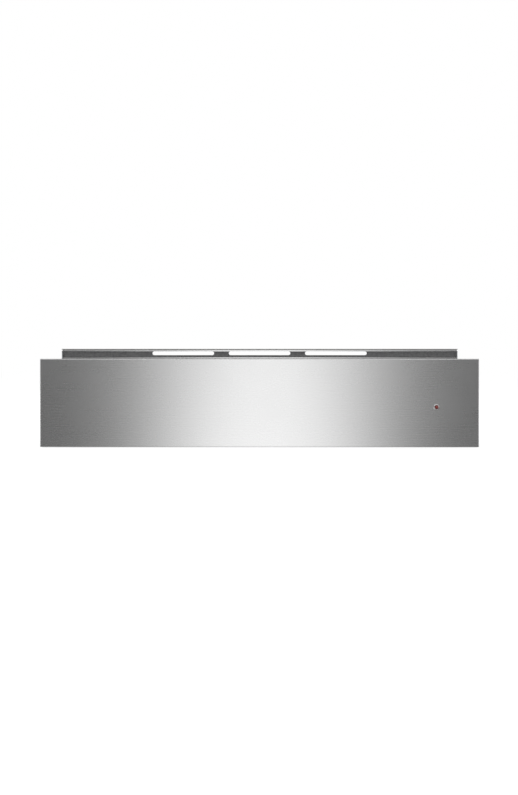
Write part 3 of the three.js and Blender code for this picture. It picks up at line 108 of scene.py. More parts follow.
class Field:
    """What a node puts out: a number, colour or shader that may change over a surface. Arithmetic with it
    adds a Math node for each step."""

    def __init__(self, socket):
        self.socket = socket
        self.tree = socket.id_data

    def __add__(self, other):
        return calculated("ADD", self, other)

    def __sub__(self, other):
        return calculated("SUBTRACT", self, other)

    def __mul__(self, other):
        return calculated("MULTIPLY", self, other)

    def __truediv__(self, other):
        return calculated("DIVIDE", self, other)

    def __rtruediv__(self, other):
        return calculated("DIVIDE", other, self)

    def __abs__(self):
        return calculated("ABSOLUTE", self)


def give(socket, value):
    """Links a Field to the socket, or sets a plain value on it."""
    if isinstance(value, Field):
        socket.id_data.links.new(value.socket, socket)
    else:
        socket.default_value = value


def add(tree, kind, settings=None, **inputs):
    """A node of that kind. `settings` are its own properties. An input is named as on the node, with _ for a
    space, or _0, _1 by its number, and takes a value or a Field."""
    made = tree.nodes.new(kind)
    for name, value in (settings or {}).items():
        setattr(made, name, value)
    for name, value in inputs.items():
        give(made.inputs[int(name[1:]) if name[1:].isdigit() else name.replace("_", " ")], value)
    return made


def read(tree, kind, output=0, settings=None, **inputs):
    """One output of a new node."""
    return Field(add(tree, kind, settings, **inputs).outputs[output])


def tree_of(values):
    return next(value.tree for value in values if isinstance(value, Field))


def calculated(operation, *numbers):
    """One step of arithmetic on fields and plain numbers."""
    inputs = {f"_{place}": number for place, number in enumerate(numbers)}
    return read(tree_of(numbers), "ShaderNodeMath", 0, {"operation": operation}, **inputs)


def smooth_step(value, low, high, bottom=0.0, top=1.0):
    """The value carried from low..high to bottom..top, with a soft start and end."""
    return read(value.tree, "ShaderNodeMapRange", 0, {"interpolation_type": "SMOOTHSTEP"}, Value=value,
                From_Min=low, From_Max=high, To_Min=bottom, To_Max=top)


def panel_light(tree):
    """Brightness of the tent at a point: dark + peak * exp(-(a / half)^power) + outer tone. Here a is how far
    to the side of the drawer's middle the front would show the point to the photograph's camera. Under
    the drawer and close round it the floor is in its shadow."""
    place = add(tree, "ShaderNodeSeparateXYZ", Vector=read(tree, "ShaderNodeNewGeometry", "Position"))
    x, y, z = (Field(socket) for socket in place.outputs)
    total = TENT_DARK
    outer = 1.0
    for side, ahead in ((x, y), (y, x)):
        away = calculated("MAXIMUM", abs(ahead) + front_y, 0.0)
        spread = away * (1 / CAMERA_AWAY) + 1.0
        shown, shown_z = (
            (away * (camera_at / CAMERA_AWAY) + point_at) / spread
            for point_at, camera_at in ((side, CAMERA_SIDE), (z, CAMERA_HEIGHT))
        )
        aside = abs(shown - PANEL_ASIDE)
        half = calculated("MINIMUM", shown_z, PANEL_TOP) * -PANEL_TAPER + PANEL_HALF
        fall = calculated("POWER", aside / half, PANEL_POWER)
        total = calculated("EXPONENT", fall * -1.0) * PANEL_PEAK + total
        outer = smooth_step(aside, *TENT_OUTER_FROM) * outer
    outside = calculated("MAXIMUM", abs(x) - front_end, abs(y) + front_y)
    return (outer * (TENT_OUTER - TENT_DARK) + total) * smooth_step(outside, *SHADOW_EDGE, FLOOR_SHADOW)


def by_ray(ray, plain, special):
    """The shader `special` for the rays of one kind, and `plain` for all others."""
    chosen = read(plain.tree, "ShaderNodeLightPath", f"Is {ray} Ray")
    return read(plain.tree, "ShaderNodeMixShader", _0=chosen, _1=plain, _2=special)


def stage_mesh(name, points, faces):
    """A mesh of the studio, with an empty material, whose node tree comes with it."""
    mesh = bpy.data.meshes.new(name)
    mesh.from_pydata(points.tolist(), [], faces.tolist())
    made = linked(name, mesh)
    mesh.materials.append(bpy.data.materials.new(name))
    made.active_material.use_nodes = True
    made.active_material.node_tree.nodes.clear()
    return made, made.active_material.node_tree


step = np.arange(STUDIO_SIDES)
turn = 2 * np.pi * step / STUDIO_SIDES
ring = np.stack([np.cos(turn), np.sin(turn), 0 * turn], axis=1)
_, tree = stage_mesh("studio_floor", FLOOR_RADIUS * ring - [0, 0, FLOOR_BELOW], step[None])
white_lit = read(tree, "ShaderNodeBsdfDiffuse", Color=(0.9, 0.9, 0.9, 1))
half_lit = read(tree, "ShaderNodeBsdfDiffuse", Color=(0.4, 0.4, 0.4, 1))
glow = read(tree, "ShaderNodeEmission", Color=(1, 1, 1, 1), Strength=FLOOR_GLOW)
seen = by_ray("Camera", white_lit, read(tree, "ShaderNodeAddShader", _0=half_lit, _1=glow))
panels = read(tree, "ShaderNodeEmission", Strength=panel_light(tree))
add(tree, "ShaderNodeOutputMaterial", Surface=by_ray("Glossy", seen, panels))

after = (step + 1) % STUDIO_SIDES
wall = np.concatenate([TENT_RADIUS * ring, TENT_RADIUS * ring + [0, 0, TENT_HEIGHT]])
wall_faces = np.stack([step, after, after + STUDIO_SIDES, step + STUDIO_SIDES], axis=1)
tent, tree = stage_mesh("studio_tent", wall, wall_faces)
add(tree, "ShaderNodeOutputMaterial", Surface=read(tree, "ShaderNodeEmission", Strength=panel_light(tree)))
for rays in ("camera", "diffuse", "transmission", "volume_scatter", "shadow"):
    setattr(tent, f"visible_{rays}", False)

world = bpy.data.worlds.new("studio")
world.use_nodes = True
bpy.context.scene.world = world
tree = world.node_tree
tree.nodes.clear()
skyward = read(tree, "ShaderNodeSeparateXYZ", "Y", Vector=read(tree, "ShaderNodeTexCoord", "Generated"))
ceiling_light = smooth_step(skyward, -0.9, 0.9, 1.0, ROOM_TONE)
room, white, mirrored = (
    read(tree, "ShaderNodeBackground", Color=(1, 1, 1, 1), Strength=strength)
    for strength in (ROOM_TONE, 1.0, ceiling_light)
)
seen = by_ray("Transmission", by_ray("Camera", room, white), white)
add(tree, "ShaderNodeOutputWorld", Surface=by_ray("Glossy", seen, mirrored))

for name, place, power in (
    ("lamp_front_left", (-1.6, -2.2, 2.2), 26),
    ("lamp_front_right", (1.8, -1.8, 1.9), 16),
    ("lamp_back", (0.3, 2.4, 2.3), 16),
):
    lamp = linked(name, bpy.data.lights.new(name, "AREA"))
    lamp.data.size = LAMP_SIZE
    lamp.data.energy = power
    lamp.location = place
    lamp.rotation_euler = (-lamp.location).to_track_quat("-Z", "Y").to_euler()
    lamp.visible_camera = False
    lamp.visible_glossy = False


# ---------------------------------------------------------------- base pan
# The chassis stands on a pan of 1 mm galvanised sheet with its four edges folded up. Four beads are pressed
# into it from below, and the flats between them bear on the cupboard's shelf.
SHEET = 1.0
BEND = 1.5
BEND_STEPS = 5
SLOT_STEPS = 4  # to an eighth of a turn
RIM = 2.5  # width of the worn strip along a cut edge
EASE = 0.15  # what is taken off a sheet's edges
SAME = 1e-3  # grid lines closer than this are one
SMALLEST = 1e-6  # area of a face that is worth keeping


def box(node):
    """The node's low and high corner, in millimetres."""
    return [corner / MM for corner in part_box(node)]


def middle_of(node):
    low, high = box(node)
    return (low + high) / 2


def run_of(points):
    """The length along a row of points, up to each of them."""
    return np.concatenate([[0], np.cumsum(np.linalg.norm(np.diff(points, axis=0), axis=1))])


def fold(corners, radius, flat=0):
    """A sheet's folded section: the polyline of `corners`, with each inner corner rounded off to an arc of
    `radius`, which may be one for each corner. A row is (length along the sheet, place, height). Lengths are
    shifted so that on the straight numbered `flat` they read as the place, or as the height if it is
    upright."""
    corners = np.asarray(corners, float)
    points = [corners[:1]]
    turn = np.linspace(0, 1, BEND_STEPS + 1)[:, None]
    bends = np.broadcast_to(radius, len(corners) - 2)
    for before, corner, after, bend in zip(corners[:-2], corners[1:-1], corners[2:], bends):
        back, on = ((end - corner) / np.linalg.norm(end - corner) for end in (before, after))
        half = np.arccos(np.clip(back @ on, -1, 1)) / 2
        opening = np.pi - 2 * half
        centre = (back + on) / np.linalg.norm(back + on) * bend / np.sin(half)
        start, end = (way * bend / np.tan(half) - centre for way in (back, on))
        arc = (np.sin((1 - turn) * opening) * start + np.sin(turn * opening) * end) / np.sin(opening)
        points.append(corner + centre + arc)
    points = np.concatenate([*points, corners[-1:]])
    lengths = run_of(points)
    first = flat * (BEND_STEPS + 1)
    step = abs(corners[flat + 1] - corners[flat])
    lengths += points[first, int(step[1] >= step[0])] - lengths[first]
    return np.column_stack([lengths, points])


def straight(start, end):
    """The section of a sheet that isn't folded."""
    return np.array([(start, start, 0), (end, end, 0)], float)


def tray(start, end, *depths, bend=BEND):
    """A sheet with both edges folded by one depth, or each by its own."""
    return fold([(start, depths[0]), (start, 0), (end, 0), (end, depths[-1])], bend, 1)


def lines(*groups):
    """Grid lines in order, none twice, from the first group's start to its end."""
    values = np.sort(np.concatenate([np.ravel(group) for group in groups]))
    low, high = np.min(groups[0]) - SAME / 10, np.max(groups[0]) + SAME / 10
    values = values[(values >= low) & (values <= high)]
    return values[np.concatenate([[True], np.diff(values) > SAME])]


def slot_fan(centre, half, radius, margin):
    """Grid lines through a slot's block: a fan of equal angles from each end of the slot's axis."""
    fan = (radius + margin) * np.tan(np.linspace(-np.pi / 4, np.pi / 4, 2 * SLOT_STEPS + 1))
    return np.concatenate([centre - half + radius + fan, centre + half - radius + fan])


def slotted_grid(u, v, slots, margin):
    """Flat points and faces of a grid of the lines u and v. Round each slot, given as its centre and its two
    half lengths, the cells of a block give way to a ring of faces: each point on the block's edge is joined
    to the slot's edge, towards the nearest point of the slot's axis. The last result is 1 on slot edges."""
    flat = np.stack(np.meshgrid(u, v, indexing="ij"), axis=-1).reshape(-1, 2)
    number = np.arange(len(flat)).reshape(len(u), len(v))
    kept = np.ones((len(u) - 1, len(v) - 1), bool)
    points, faces = [flat], []
    total = len(flat)
    for slot in slots:
        centre, half = np.array(slot[:2]), np.array(slot[2:])
        radius = half.min()
        low, high = centre - half - margin, centre + half + margin
        i0, i1 = (int(np.argmin(abs(u - edge))) for edge in (low[0], high[0]))
        j0, j1 = (int(np.argmin(abs(v - edge))) for edge in (low[1], high[1]))
        kept[i0:i1, j0:j1] = False
        block = (number[i0:i1, j0], number[i1, j0:j1], number[i1:i0:-1, j1], number[i0, j1:j0:-1])
        edge = np.concatenate(block)
        axis = np.clip(flat[edge], centre - half + radius, centre + half - radius)
        away = flat[edge] - axis
        points.append(axis + radius * away / np.linalg.norm(away, axis=1, keepdims=True))
        new = total + np.arange(len(edge))
        faces.append(np.stack([edge, np.roll(edge, -1), np.roll(new, -1), new], axis=1))
        total += len(edge)
    cells = np.stack([number[:-1, :-1], number[1:, :-1], number[1:, 1:], number[:-1, 1:]], axis=-1)
    cut = 1.0 * (np.arange(total) >= len(flat))
    return np.concatenate(points), np.concatenate([*faces, cells[kept]]), cut


def as_piece(name, mesh, finish, body, node):
    """The mesh as a piece of the drawer. It rides on `body`, wears its finish, and stands in for
    the CAD's `node` if there is one."""
    mesh.shade_smooth()
    mesh.materials.clear()
    mesh.materials.append(finish)
    made = linked(name, mesh)
    if body:
        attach(made, body)
    if node:
        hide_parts(node)
    return made


def mesh_piece(name, points, faces, finish, body, node=None, uv=None, rim=None):
    """A smooth-shaded piece from its points and faces, with doubled points welded. `uv` is a pair, each
    point's two lengths along the surface, and `rim` is 1 on a cut edge."""
    mesh = bpy.data.meshes.new(name)
    mesh.from_pydata((MM * points.reshape(-1, 3)).tolist(), [], [list(face) for face in faces])
    if uv:
        corner_points = np.zeros(len(mesh.loops), np.int32)
        mesh.loops.foreach_get("vertex_index", corner_points)
        uv = MM * np.stack(np.broadcast_arrays(*uv), axis=-1).reshape(-1, 2)
        layer = mesh.uv_layers.new(name="sheet").data
        layer.foreach_set("uv", uv[corner_points].astype(np.float32).ravel())
    if rim is not None:
        mesh.attributes.new("rim", "FLOAT", "POINT").data.foreach_set("value", rim.astype(np.float32))
    loose = bmesh.new()
    loose.from_mesh(mesh)
    bmesh.ops.remove_doubles(loose, verts=loose.verts, dist=2e-6)
    bmesh.ops.dissolve_degenerate(loose, edges=loose.edges, dist=1e-7)
    bmesh.ops.delete(loose, geom=[v for v in loose.verts if not v.link_faces], context="VERTS")
    loose.to_mesh(mesh)
    loose.free()
    return as_piece(name, mesh, finish, body, node)


def wall_and_edges(made, thick=0, out=False, soften=0, angle=35):
    """Gives a sheet its thickness, out of its faces or into them, and takes the sharpness off its edges."""
    if thick:
        solid = made.modifiers.new("thickness", "SOLIDIFY")
        solid.thickness = thick * MM
        solid.offset = 1 if out else -1
        solid.use_even_offset = True
    if soften:
        edges = made.modifiers.new("edges", "BEVEL")
        edges.width = soften * MM
        edges.segments = 2
        edges.limit_method = "ANGLE"
        edges.angle_limit = np.radians(angle)
        edges.use_clamp_overlap = True
    even = made.modifiers.new("shading", "WEIGHTED_NORMAL")
    even.keep_sharp = True
    return made


def pressed_sheet(name, u_fold, v_fold, order, level, finish, body, node, thick=SHEET, out=False,
                  slots=(), margin=2, press=None, notch=None, extra_u=(), extra_v=(), soften=EASE):
    """A sheet folded along both directions. A point (u, v) of the flat grid lands at (place of u, place of v,
    level + the deeper of the two folds' heights), so folds that meet at a corner close in a mitre. `order`
    says which axes the three numbers go to. `slots` are (u, v, radius) or (u, v, half length, half width),
    `press` adds a height over (u, v), and `notch` is true where the flat sheet is cut away."""
    slots = [(*slot[:3], slot[-1]) for slot in slots]
    grid = [
        lines(section[:, 0], section[0, 0] + RIM, section[-1, 0] - RIM, *extra,
              *(slot_fan(slot[way], slot[way + 2], min(slot[2:]), margin) for slot in slots))
        for way, section, extra in ((0, u_fold, extra_u), (1, v_fold, extra_v))
    ]
    flat, faces, rim = slotted_grid(*grid, slots, margin)
    u, v = flat.T
    (su, pu, hu), (sv, pv, hv) = u_fold.T, v_fold.T
    height_u, height_v = np.interp(u, su, hu), np.interp(v, sv, hv)
    height = np.where(abs(height_u) > abs(height_v), height_u, height_v) + level
    if press:
        height = height + press(u, v)
    points = np.empty((len(flat), 3))
    for axis, numbers in zip(order, (np.interp(u, su, pu), np.interp(v, sv, pv), height)):
        points[:, "xyz".index(axis)] = numbers
    edge = np.min([u - su[0], su[-1] - u, v - sv[0], sv[-1] - v], axis=0)
    rim = np.maximum(rim, np.clip(1 - edge / RIM, 0, 1))
    a, b, c, d = points[faces.T]
    kept = np.linalg.norm(np.cross(c - a, d - b), axis=1) > SMALLEST
    if notch:
        kept &= ~notch(*flat[faces].mean(axis=1).T)
    made = mesh_piece(name, points, faces[kept], finish, body, node, (u, v), rim)
    return wall_and_edges(made, thick, out, soften)


def beads(places, run, half, height):
    """Beads pressed into a sheet along the lines u = each place, from run[0] to run[1]: their height over
    (u, v), and the grid lines that they need along u and v. The height is full over a bead's middle half and
    falls in an S-curve to nothing at `half` from its line."""

    def press(u, v):
        beyond = v - np.clip(v, run[0] + half, run[1] - half)
        t = np.clip(2 - 2 * np.hypot(u[:, None] - places, beyond[:, None]) / half, 0, 1)
        return height * np.sum(t * t * (3 - 2 * t), axis=1)

    ends = np.linspace(0, half, 7)
    return press, [place + half * np.linspace(-1, 1, 13) for place in places], [run[0] + ends, run[1] - ends]


def effect(name, inputs, build):
    """A shader node group. `build` gets its tree and its inputs, and returns its outputs by their names."""
    tree = bpy.data.node_groups.new(name, "ShaderNodeTree")
    for label, value in inputs.items():
        kind = "NodeSocketVector" if np.ndim(value) else "NodeSocketFloat"
        tree.interface.new_socket(name=label, in_out="INPUT", socket_type=kind).default_value = value
    made = build(tree, *(read(tree, "NodeGroupInput", label) for label in inputs))
    for label in made:
        tree.interface.new_socket(name=label, in_out="OUTPUT", socket_type="NodeSocketFloat")
    outlet = tree.nodes.new("NodeGroupOutput")
    for label, field in made.items():
        give(outlet.inputs[label], field)
    return tree


def use(tree, group, **inputs):
    """The outputs of the group placed in a material, with its own values."""
    return [Field(socket) for socket in add(tree, "ShaderNodeGroup", {"node_tree": group}, **inputs).outputs]


def finish_of(name, slot=None, **numbers):
    """A material, its tree and its Principled shader, whose plain numbers are set on its own sockets. `slot`
    is not used."""
    made = bpy.data.materials.new(name)
    made.use_nodes = True
    shader = made.node_tree.nodes["Principled BSDF"]
    for label, value in numbers.items():
        give(shader.inputs[label.replace("_", " ")], value)
    return made, made.node_tree, shader


def mixed(share, first, second, **settings):
    """A colour between two. Each may be a field, three numbers or one for a grey."""
    tree = tree_of((share, first, second))
    first, second = (
        colour if isinstance(colour, Field) else (*np.broadcast_to(colour, 3).tolist(), 1)
        for colour in (first, second)
    )
    return read(tree, "ShaderNodeMix", 2, {"data_type": "RGBA", **settings}, _0=share, _6=first, _7=second)


def tone(value, dark, light, low=0.0, high=1.0):
    """A colour between two, by a value that runs from low to high."""
    return mixed(smooth_step(value, low, high), dark, light)


def drive(shader, colour, roughness, height=None, depth=0.02):
    """Gives the shader what changes over the surface. `height` goes through a bump of that depth."""
    give(shader.inputs["Base Color"], colour)
    give(shader.inputs["Roughness"], roughness)
    if height:
        bump = read(height.tree, "ShaderNodeBump", Strength=1.0, Distance=depth * MM, Height=height)
        give(shader.inputs["Normal"], bump)


def noise(tree, scale, detail=2.0, where=None, output=0):
    """Noise with `scale` waves to a metre, in the object's own coordinates if not in others."""
    where = where or read(tree, "ShaderNodeTexCoord", "Object")
    return read(tree, "ShaderNodeTexNoise", output, Vector=where, Scale=scale, Detail=detail)


def spangle_nodes(tree, crystal_size):
    """Zinc freezes on the sheet in flat crystals, each with its own tone, under a few scratches."""
    where = read(tree, "ShaderNodeTexCoord", "Object")
    wobble = noise(tree, 90.0, 2.0, where, "Color")
    bent = read(tree, "ShaderNodeMix", 1, {"data_type": "VECTOR"}, _0=0.006, _4=where, _5=wobble)
    crystals = read(tree, "ShaderNodeTexVoronoi", "Color", Vector=bent, Scale=1.0 / crystal_size)
    own = read(tree, "ShaderNodeSeparateColor", Color=crystals)
    fine = noise(tree, 700.0, 3.0)
    return {"Tone": own * 0.8 + fine * 0.25, "Height": own * 0.6 + fine}


def handling_nodes(tree, patch_size):
    """Dust and finger marks: broad soft patches, broken up by finer ones."""
    broad = smooth_step(noise(tree, 1.0 / patch_size, 3.0), 0.38, 0.72)
    return {"Film": broad * noise(tree, 260.0, 3.0) * 1.6}


def cut_edge_nodes(tree, amount):
    """The strip next to a cut edge, broken up as wear is."""
    near = read(tree, "ShaderNodeAttribute", "Fac", {"attribute_name": "rim"})
    return {"Wear": smooth_step(near + noise(tree, 380.0, 3.0) * 0.5, 0.85, 1.15) * amount}


spangle = effect("zinc spangle", {"Crystal Size": 5 * MM}, spangle_nodes)
handling = effect("handling", {"Patch Size": 60 * MM}, handling_nodes)
cut_edge = effect("cut edge", {"Amount": 1.0}, cut_edge_nodes)

# The zinc's crystals lie under a film of dust, and its cut edges are duller.
galvanised, tree, shader = finish_of("galvanised", Metallic=0.95)
crystal, crystal_height = use(tree, spangle)
[film] = use(tree, handling)
[wear] = use(tree, cut_edge)
zinc = tone(crystal, (0.54, 0.56, 0.575), (0.65, 0.67, 0.685), 0.15, 0.95)
gloss = film * 0.16 + crystal * -0.12 + 0.48
drive(shader, mixed(wear, zinc, (0.44, 0.44, 0.43)), gloss, crystal_height)

BASE_BEAD = (7, 2.5)  # half width and height
BASE_BEADS = 4
BASE_BEAD_INSET = (28, 154)  # from the pan's front and rear edges
BASE_LIP = 5
BASE_FLANGE = 10

low, high = box("base_pan")
bead_x = low.x + (high.x - low.x) * (np.arange(BASE_BEADS) + 0.5) / BASE_BEADS
press, across, along = beads(bead_x, (low.y + BASE_BEAD_INSET[0], high.y - BASE_BEAD_INSET[1]), *BASE_BEAD)
pressed_sheet(
    "base_pan_sheet", tray(low.x, high.x, BASE_FLANGE), tray(low.y, high.y, BASE_LIP, BASE_FLANGE),
    "xyz", 0, galvanised, "chassis", "base_pan", out=True, press=press, extra_u=across, extra_v=along,
)


# ---------------------------------------------------------------- side walls
# Each wall is a galvanised sheet with its top edge turned in to carry the cover, its front edge turned out
# for the drawer's seal to meet, and two long beads pressed outwards. It is spot-welded to the pan.
SIDES = (("left", -1), ("right", 1))
GAP = 0.3  # between pieces that don't bear on each other
WALL_TOP_FLANGE = 14
WALL_FLANGE_FOOT = 3
WALL_BEAD_Z = (80, 102)
WALL_BEAD = (5, 2)  # half width and height
WALL_BEAD_INSET = (78, 40)  # from the wall's front and rear edges
HOLE = 2.2  # radius round a screw

wall_x = box("base_pan")[1].x + GAP + SHEET
flange_z = (WALL_FLANGE_FOOT, box("ceiling_plate")[1].z - SHEET)
flange_from = box("vent_rail")[1].y + GAP
for side, sign in SIDES:
    low, high = box(f"side_wall_{side}")
    flange_x = max(abs(low.x), abs(high.x))
    flange_y = low.y + SHEET  # its rear face, which the wall's outer face runs into
    screws = [middle_of(f"bracket_screw_{side}_{end}") for end in ("lower", "upper")]
    bead_run = (low.y + WALL_BEAD_INSET[0], high.y - WALL_BEAD_INSET[1])
    wall_press, across, along = beads(WALL_BEAD_Z, bead_run, WALL_BEAD[0], sign * WALL_BEAD[1])

    def cut_away(u, v):
        """The front flange stops short of the floor and of the ceiling, and the top flange of the rail."""
        past = (v < flange_z[0]) | (v > flange_z[1])
        return ((u < flange_y + BEND) & past) | ((v > high.z - BEND) & (u < flange_from))

    pressed_sheet(
        f"side_wall_sheet_{side}",
        fold([(flange_y, sign * (flange_x - wall_x)), (flange_y, 0), (high.y, 0)], BEND, 1),
        fold([(0, 0), (high.z, 0), (high.z, -sign * WALL_TOP_FLANGE)], BEND),
        "yzx", sign * wall_x, galvanised, "chassis", f"side_wall_{side}", out=sign < 0,
        slots=[(m.y, m.z, HOLE) for m in screws], press=lambda u, v: wall_press(v, u), notch=cut_away,
        extra_u=[*along, flange_from], extra_v=[*across, flange_z],
    )


# ---------------------------------------------------------------- rear panel, ceiling, cover and stringers
# The rear panel closes the back up to the ceiling plate, above which the cooling air runs out. The cover
# stands on two folded stringers and on the walls, and carries the oven.
REAR_FLANGE = 12
REAR_SLOT = (1.9, 17)  # half width and half height
REAR_SLOT_X = 70 + 11 * np.arange(6)
REAR_MARGIN = 3
GLAND_HOLE = 7.3
COVER_BEAD_X = 104.5 * np.arange(-2, 3)
COVER_BEAD = (6, -1.6)
COVER_BEAD_INSET = 50
COVER_HOLE = 4.1

low, high = box("rear_panel")
fan_low, fan_high = box("fan_wheel")
fan_z = middle_of("fan_wheel").z
gland = middle_of("cable_gland")
flange_z = (BASE_FLANGE + GAP, box("ceiling_plate")[0].z - GAP)
rear_slots = [(s * x, fan_z, *REAR_SLOT) for s in (-1, 1) for x in REAR_SLOT_X]
rear_holes = [(m.x, m.z, HOLE) for m in (middle_of("rear_screw_left"), middle_of("rear_screw_right"))]
pressed_sheet(
    "rear_panel_sheet", tray(low.x, high.x, -REAR_FLANGE), straight(low.z, high.z),
    "xzy", high.y, galvanised, "chassis", "rear_panel", out=True, extra_v=[flange_z],
    slots=[*rear_slots, (gland.x, gland.z, GLAND_HOLE), *rear_holes], margin=REAR_MARGIN,
    notch=lambda u, v: (abs(u) > high.x - BEND) & ((v < flange_z[0]) | (v > flange_z[1])),
)

low, high = box("ceiling_plate")
drop = low.z - high.z
pressed_sheet(
    "ceiling_plate_sheet", tray(low.x, high.x, drop), fold([(low.y, drop), (low.y, 0), (high.y, 0)], BEND, 1),
    "xyz", high.z, galvanised, "chassis", "ceiling_plate",
)

low, high = box("top_cover")
cover_screws = [f"cover_screw_{end}_{side}" for end in ("front", "rear") for side, _ in SIDES]
press, across, along = beads(COVER_BEAD_X, (low.y + COVER_BEAD_INSET, high.y - COVER_BEAD_INSET), *COVER_BEAD)
pressed_sheet(
    "top_cover_sheet", straight(low.x, high.x), straight(low.y, high.y),
    "xyz", high.z, galvanised, "chassis", "top_cover", press=press, extra_u=across, extra_v=along,
    slots=[(m.x, m.y, COVER_HOLE) for m in map(middle_of, cover_screws)],
)

for side, sign in SIDES:
    low, high = box(f"cover_stringer_{side}")
    web, tip = (low.x, high.x)[::sign]
    pressed_sheet(
        f"cover_stringer_channel_{side}", straight(low.y, high.y),
        fold([(tip, low.z), (web, low.z), (web, high.z), (tip, high.z)], BEND, 1),
        "yxz", 0, galvanised, "chassis", f"cover_stringer_{side}", out=sign > 0,
    )


# ---------------------------------------------------------------- vent rail
# Above the front runs a rail of brushed stainless steel: a top strip with a lip folded down, welded to a
# channel whose web has three round-ended slots and whose lower edge is folded up. Inside, the channel is
# a dull dark grey: painted shade for the recess between its lips.
VENT_SLOT = (42.25, 2.55)
VENT_PITCH = 104.5
RAIL_LIPS = (2.2, 3.3)  # upper and lower
RAIL_WEB = 9  # rail's front to the back of its web
RAIL_BEND = 1.2
WELDED = 0.02  # between sheets that lie against each other
PAINTED_SHADE_FROM = 2  # behind the rail's front, where its polish ends and the painted shade begins


def grain_nodes(tree, lengthways):
    """Fine scratches along one direction: noise drawn out lengthwise, at two widths."""
    where = read(tree, "ShaderNodeTexCoord", "Object")
    drawn = read(tree, "ShaderNodeVectorMath", 0, {"operation": "MULTIPLY"}, _0=where, _1=lengthways)
    return {"Streak": noise(tree, 4.0, 1.0, drawn) * 0.4 + noise(tree, 1.0, 2.0, drawn) * 0.6}


brushing = effect("brushed grain", {"Lengthways": (8.0, 900.0, 900.0)}, grain_nodes)


def brushed_steel(name, lengthways, dark, light, rough, depth=0.001, anisotropy=0.75, slot=None):
    """Brushed stainless steel: its highlight is drawn out across the brushing, which runs along the mesh's
    first direction. Streaks, smears and rubbed edges change its gloss a little."""
    made, tree, shader = finish_of(name, slot, Metallic=1.0, Anisotropic=anisotropy)
    shader.inputs["Anisotropic Rotation"].default_value = 0.25
    [streak] = use(tree, brushing, Lengthways=lengthways)
    [smear] = use(tree, handling)
    [rubbed] = use(tree, cut_edge)
    gloss = streak * 0.05 + smear * 0.02 + rubbed * -0.06 + (rough - 0.025)
    drive(shader, tone(streak, dark, light, 0.3, 0.7), gloss, streak, depth)
    along = read(tree, "ShaderNodeTangent", 0, {"direction_type": "UV_MAP", "uv_map": "sheet"})
    give(shader.inputs["Tangent"], along)
    return made


def metal(name, dark, light, grain, rough, detail=4.0, span=(0.3, 0.7), film=0.0, depth=0.0, slot=None,
          metallic=1.0):
    """Plain metal. Fine marks, `grain` to a metre, carry its colour from dark to light over `span` of them
    and its roughness over `rough`; they are `depth` deep, and a `film` of dust dulls it."""
    made, tree, shader = finish_of(name, slot, Metallic=metallic)
    marks = noise(tree, grain, detail)
    gloss = marks * (rough[1] - rough[0]) + rough[0]
    if film:
        gloss = use(tree, handling)[0] * film + gloss
    drive(shader, tone(marks, dark, light, *span), gloss, marks if depth else None, depth)
    return made


brushed_front = brushed_steel("brushed_front", (6.0, 1300.0, 1300.0), 0.747, 0.763, 0.27)
# Painted shade: a dull dark grey stands in for the shade inside the rail's channel, between its lips.
channel_painted_shade = metal("channel_painted_shade", (0.30, 0.30, 0.305), (0.42, 0.42, 0.425), 420.0, (0.5, 0.7), depth=0.02,
                  metallic=0.9)

low, high = box("vent_rail")
cover_foot = box("top_cover")[1].z - SHEET - WELDED  # the rail's top strip lies against the cover
web_y, web_top = low.y + RAIL_WEB, high.z - SHEET - WELDED
lip_foot, lip_top = high.z - RAIL_LIPS[0], low.z + RAIL_LIPS[1]
pressed_sheet(
    "vent_rail_top", straight(low.x, high.x),
    fold([(low.y, lip_foot), (low.y, cover_foot), (high.y, cover_foot)], RAIL_BEND, 1),
    "xyz", 0, brushed_front, "chassis", "vent_rail", soften=0.2,
)
channel = pressed_sheet(
    "vent_rail_channel", straight(low.x, high.x),
    fold([(low.y, lip_top), (low.y, low.z), (web_y, low.z), (web_y, web_top)], RAIL_BEND, 2),
    "xyz", 0, brushed_front, "chassis", "vent_rail", soften=0.2, out=True,
    slots=[(x, lip_foot - VENT_SLOT[1], *VENT_SLOT) for x in VENT_PITCH * np.arange(-1, 2)],
)
# The faces behind the rail's front take the painted shade.
channel.data.materials.append(channel_painted_shade)
face_y = np.array([face.center.y for face in channel.data.polygons])
channel.data.polygons.foreach_set("material_index", (face_y > MM * (low.y + PAINTED_SHADE_FROM)).astype(np.int32))


# ---------------------------------------------------------------- cupboard brackets and screws
# Zinc-plated steel: two Z-shaped brackets hold the chassis to the cupboard's sides, on pan-head screws.
# Countersunk screws of the same plate hold the cover, and pan heads the rear panel.
BRACKET_SHEET = 1.5
BRACKET_BENDS = (1, 2.5)
BRACKET_ON_WALL = 0.45  # share of the bracket's length that lies on the wall
CUPBOARD_HOLE = 2.5
HEAD = (3.8, 2.1)  # radius and height of a screw's head
SHANK = 1.9
CROWN_STEPS = 22
SCREW_SIDES = 64
RECESS = (0.42, 2.0, 1.3)  # half width, reach and depth of the cross
RECESS_EDGES = (0.2, 0.9)  # slope of its walls and of its ends

# Bright zinc with its passivated sheen of faint yellow and blue, and the marks of the barrel it was
# plated in.
zinc_plated, tree, shader = finish_of("zinc_plated", Metallic=1.0)
marks = noise(tree, 900.0, 4.0)
[film] = use(tree, handling)
hue = tone(noise(tree, 55.0), (0.62, 0.65, 0.69), (0.71, 0.70, 0.66), 0.35, 0.7)
shade = mixed(0.35, hue, tone(marks, 0.80, 1.0, 0.25, 0.6), blend_type="MULTIPLY")
drive(shader, shade, marks * 0.18 + film * 0.1 + 0.2, marks, 0.01)

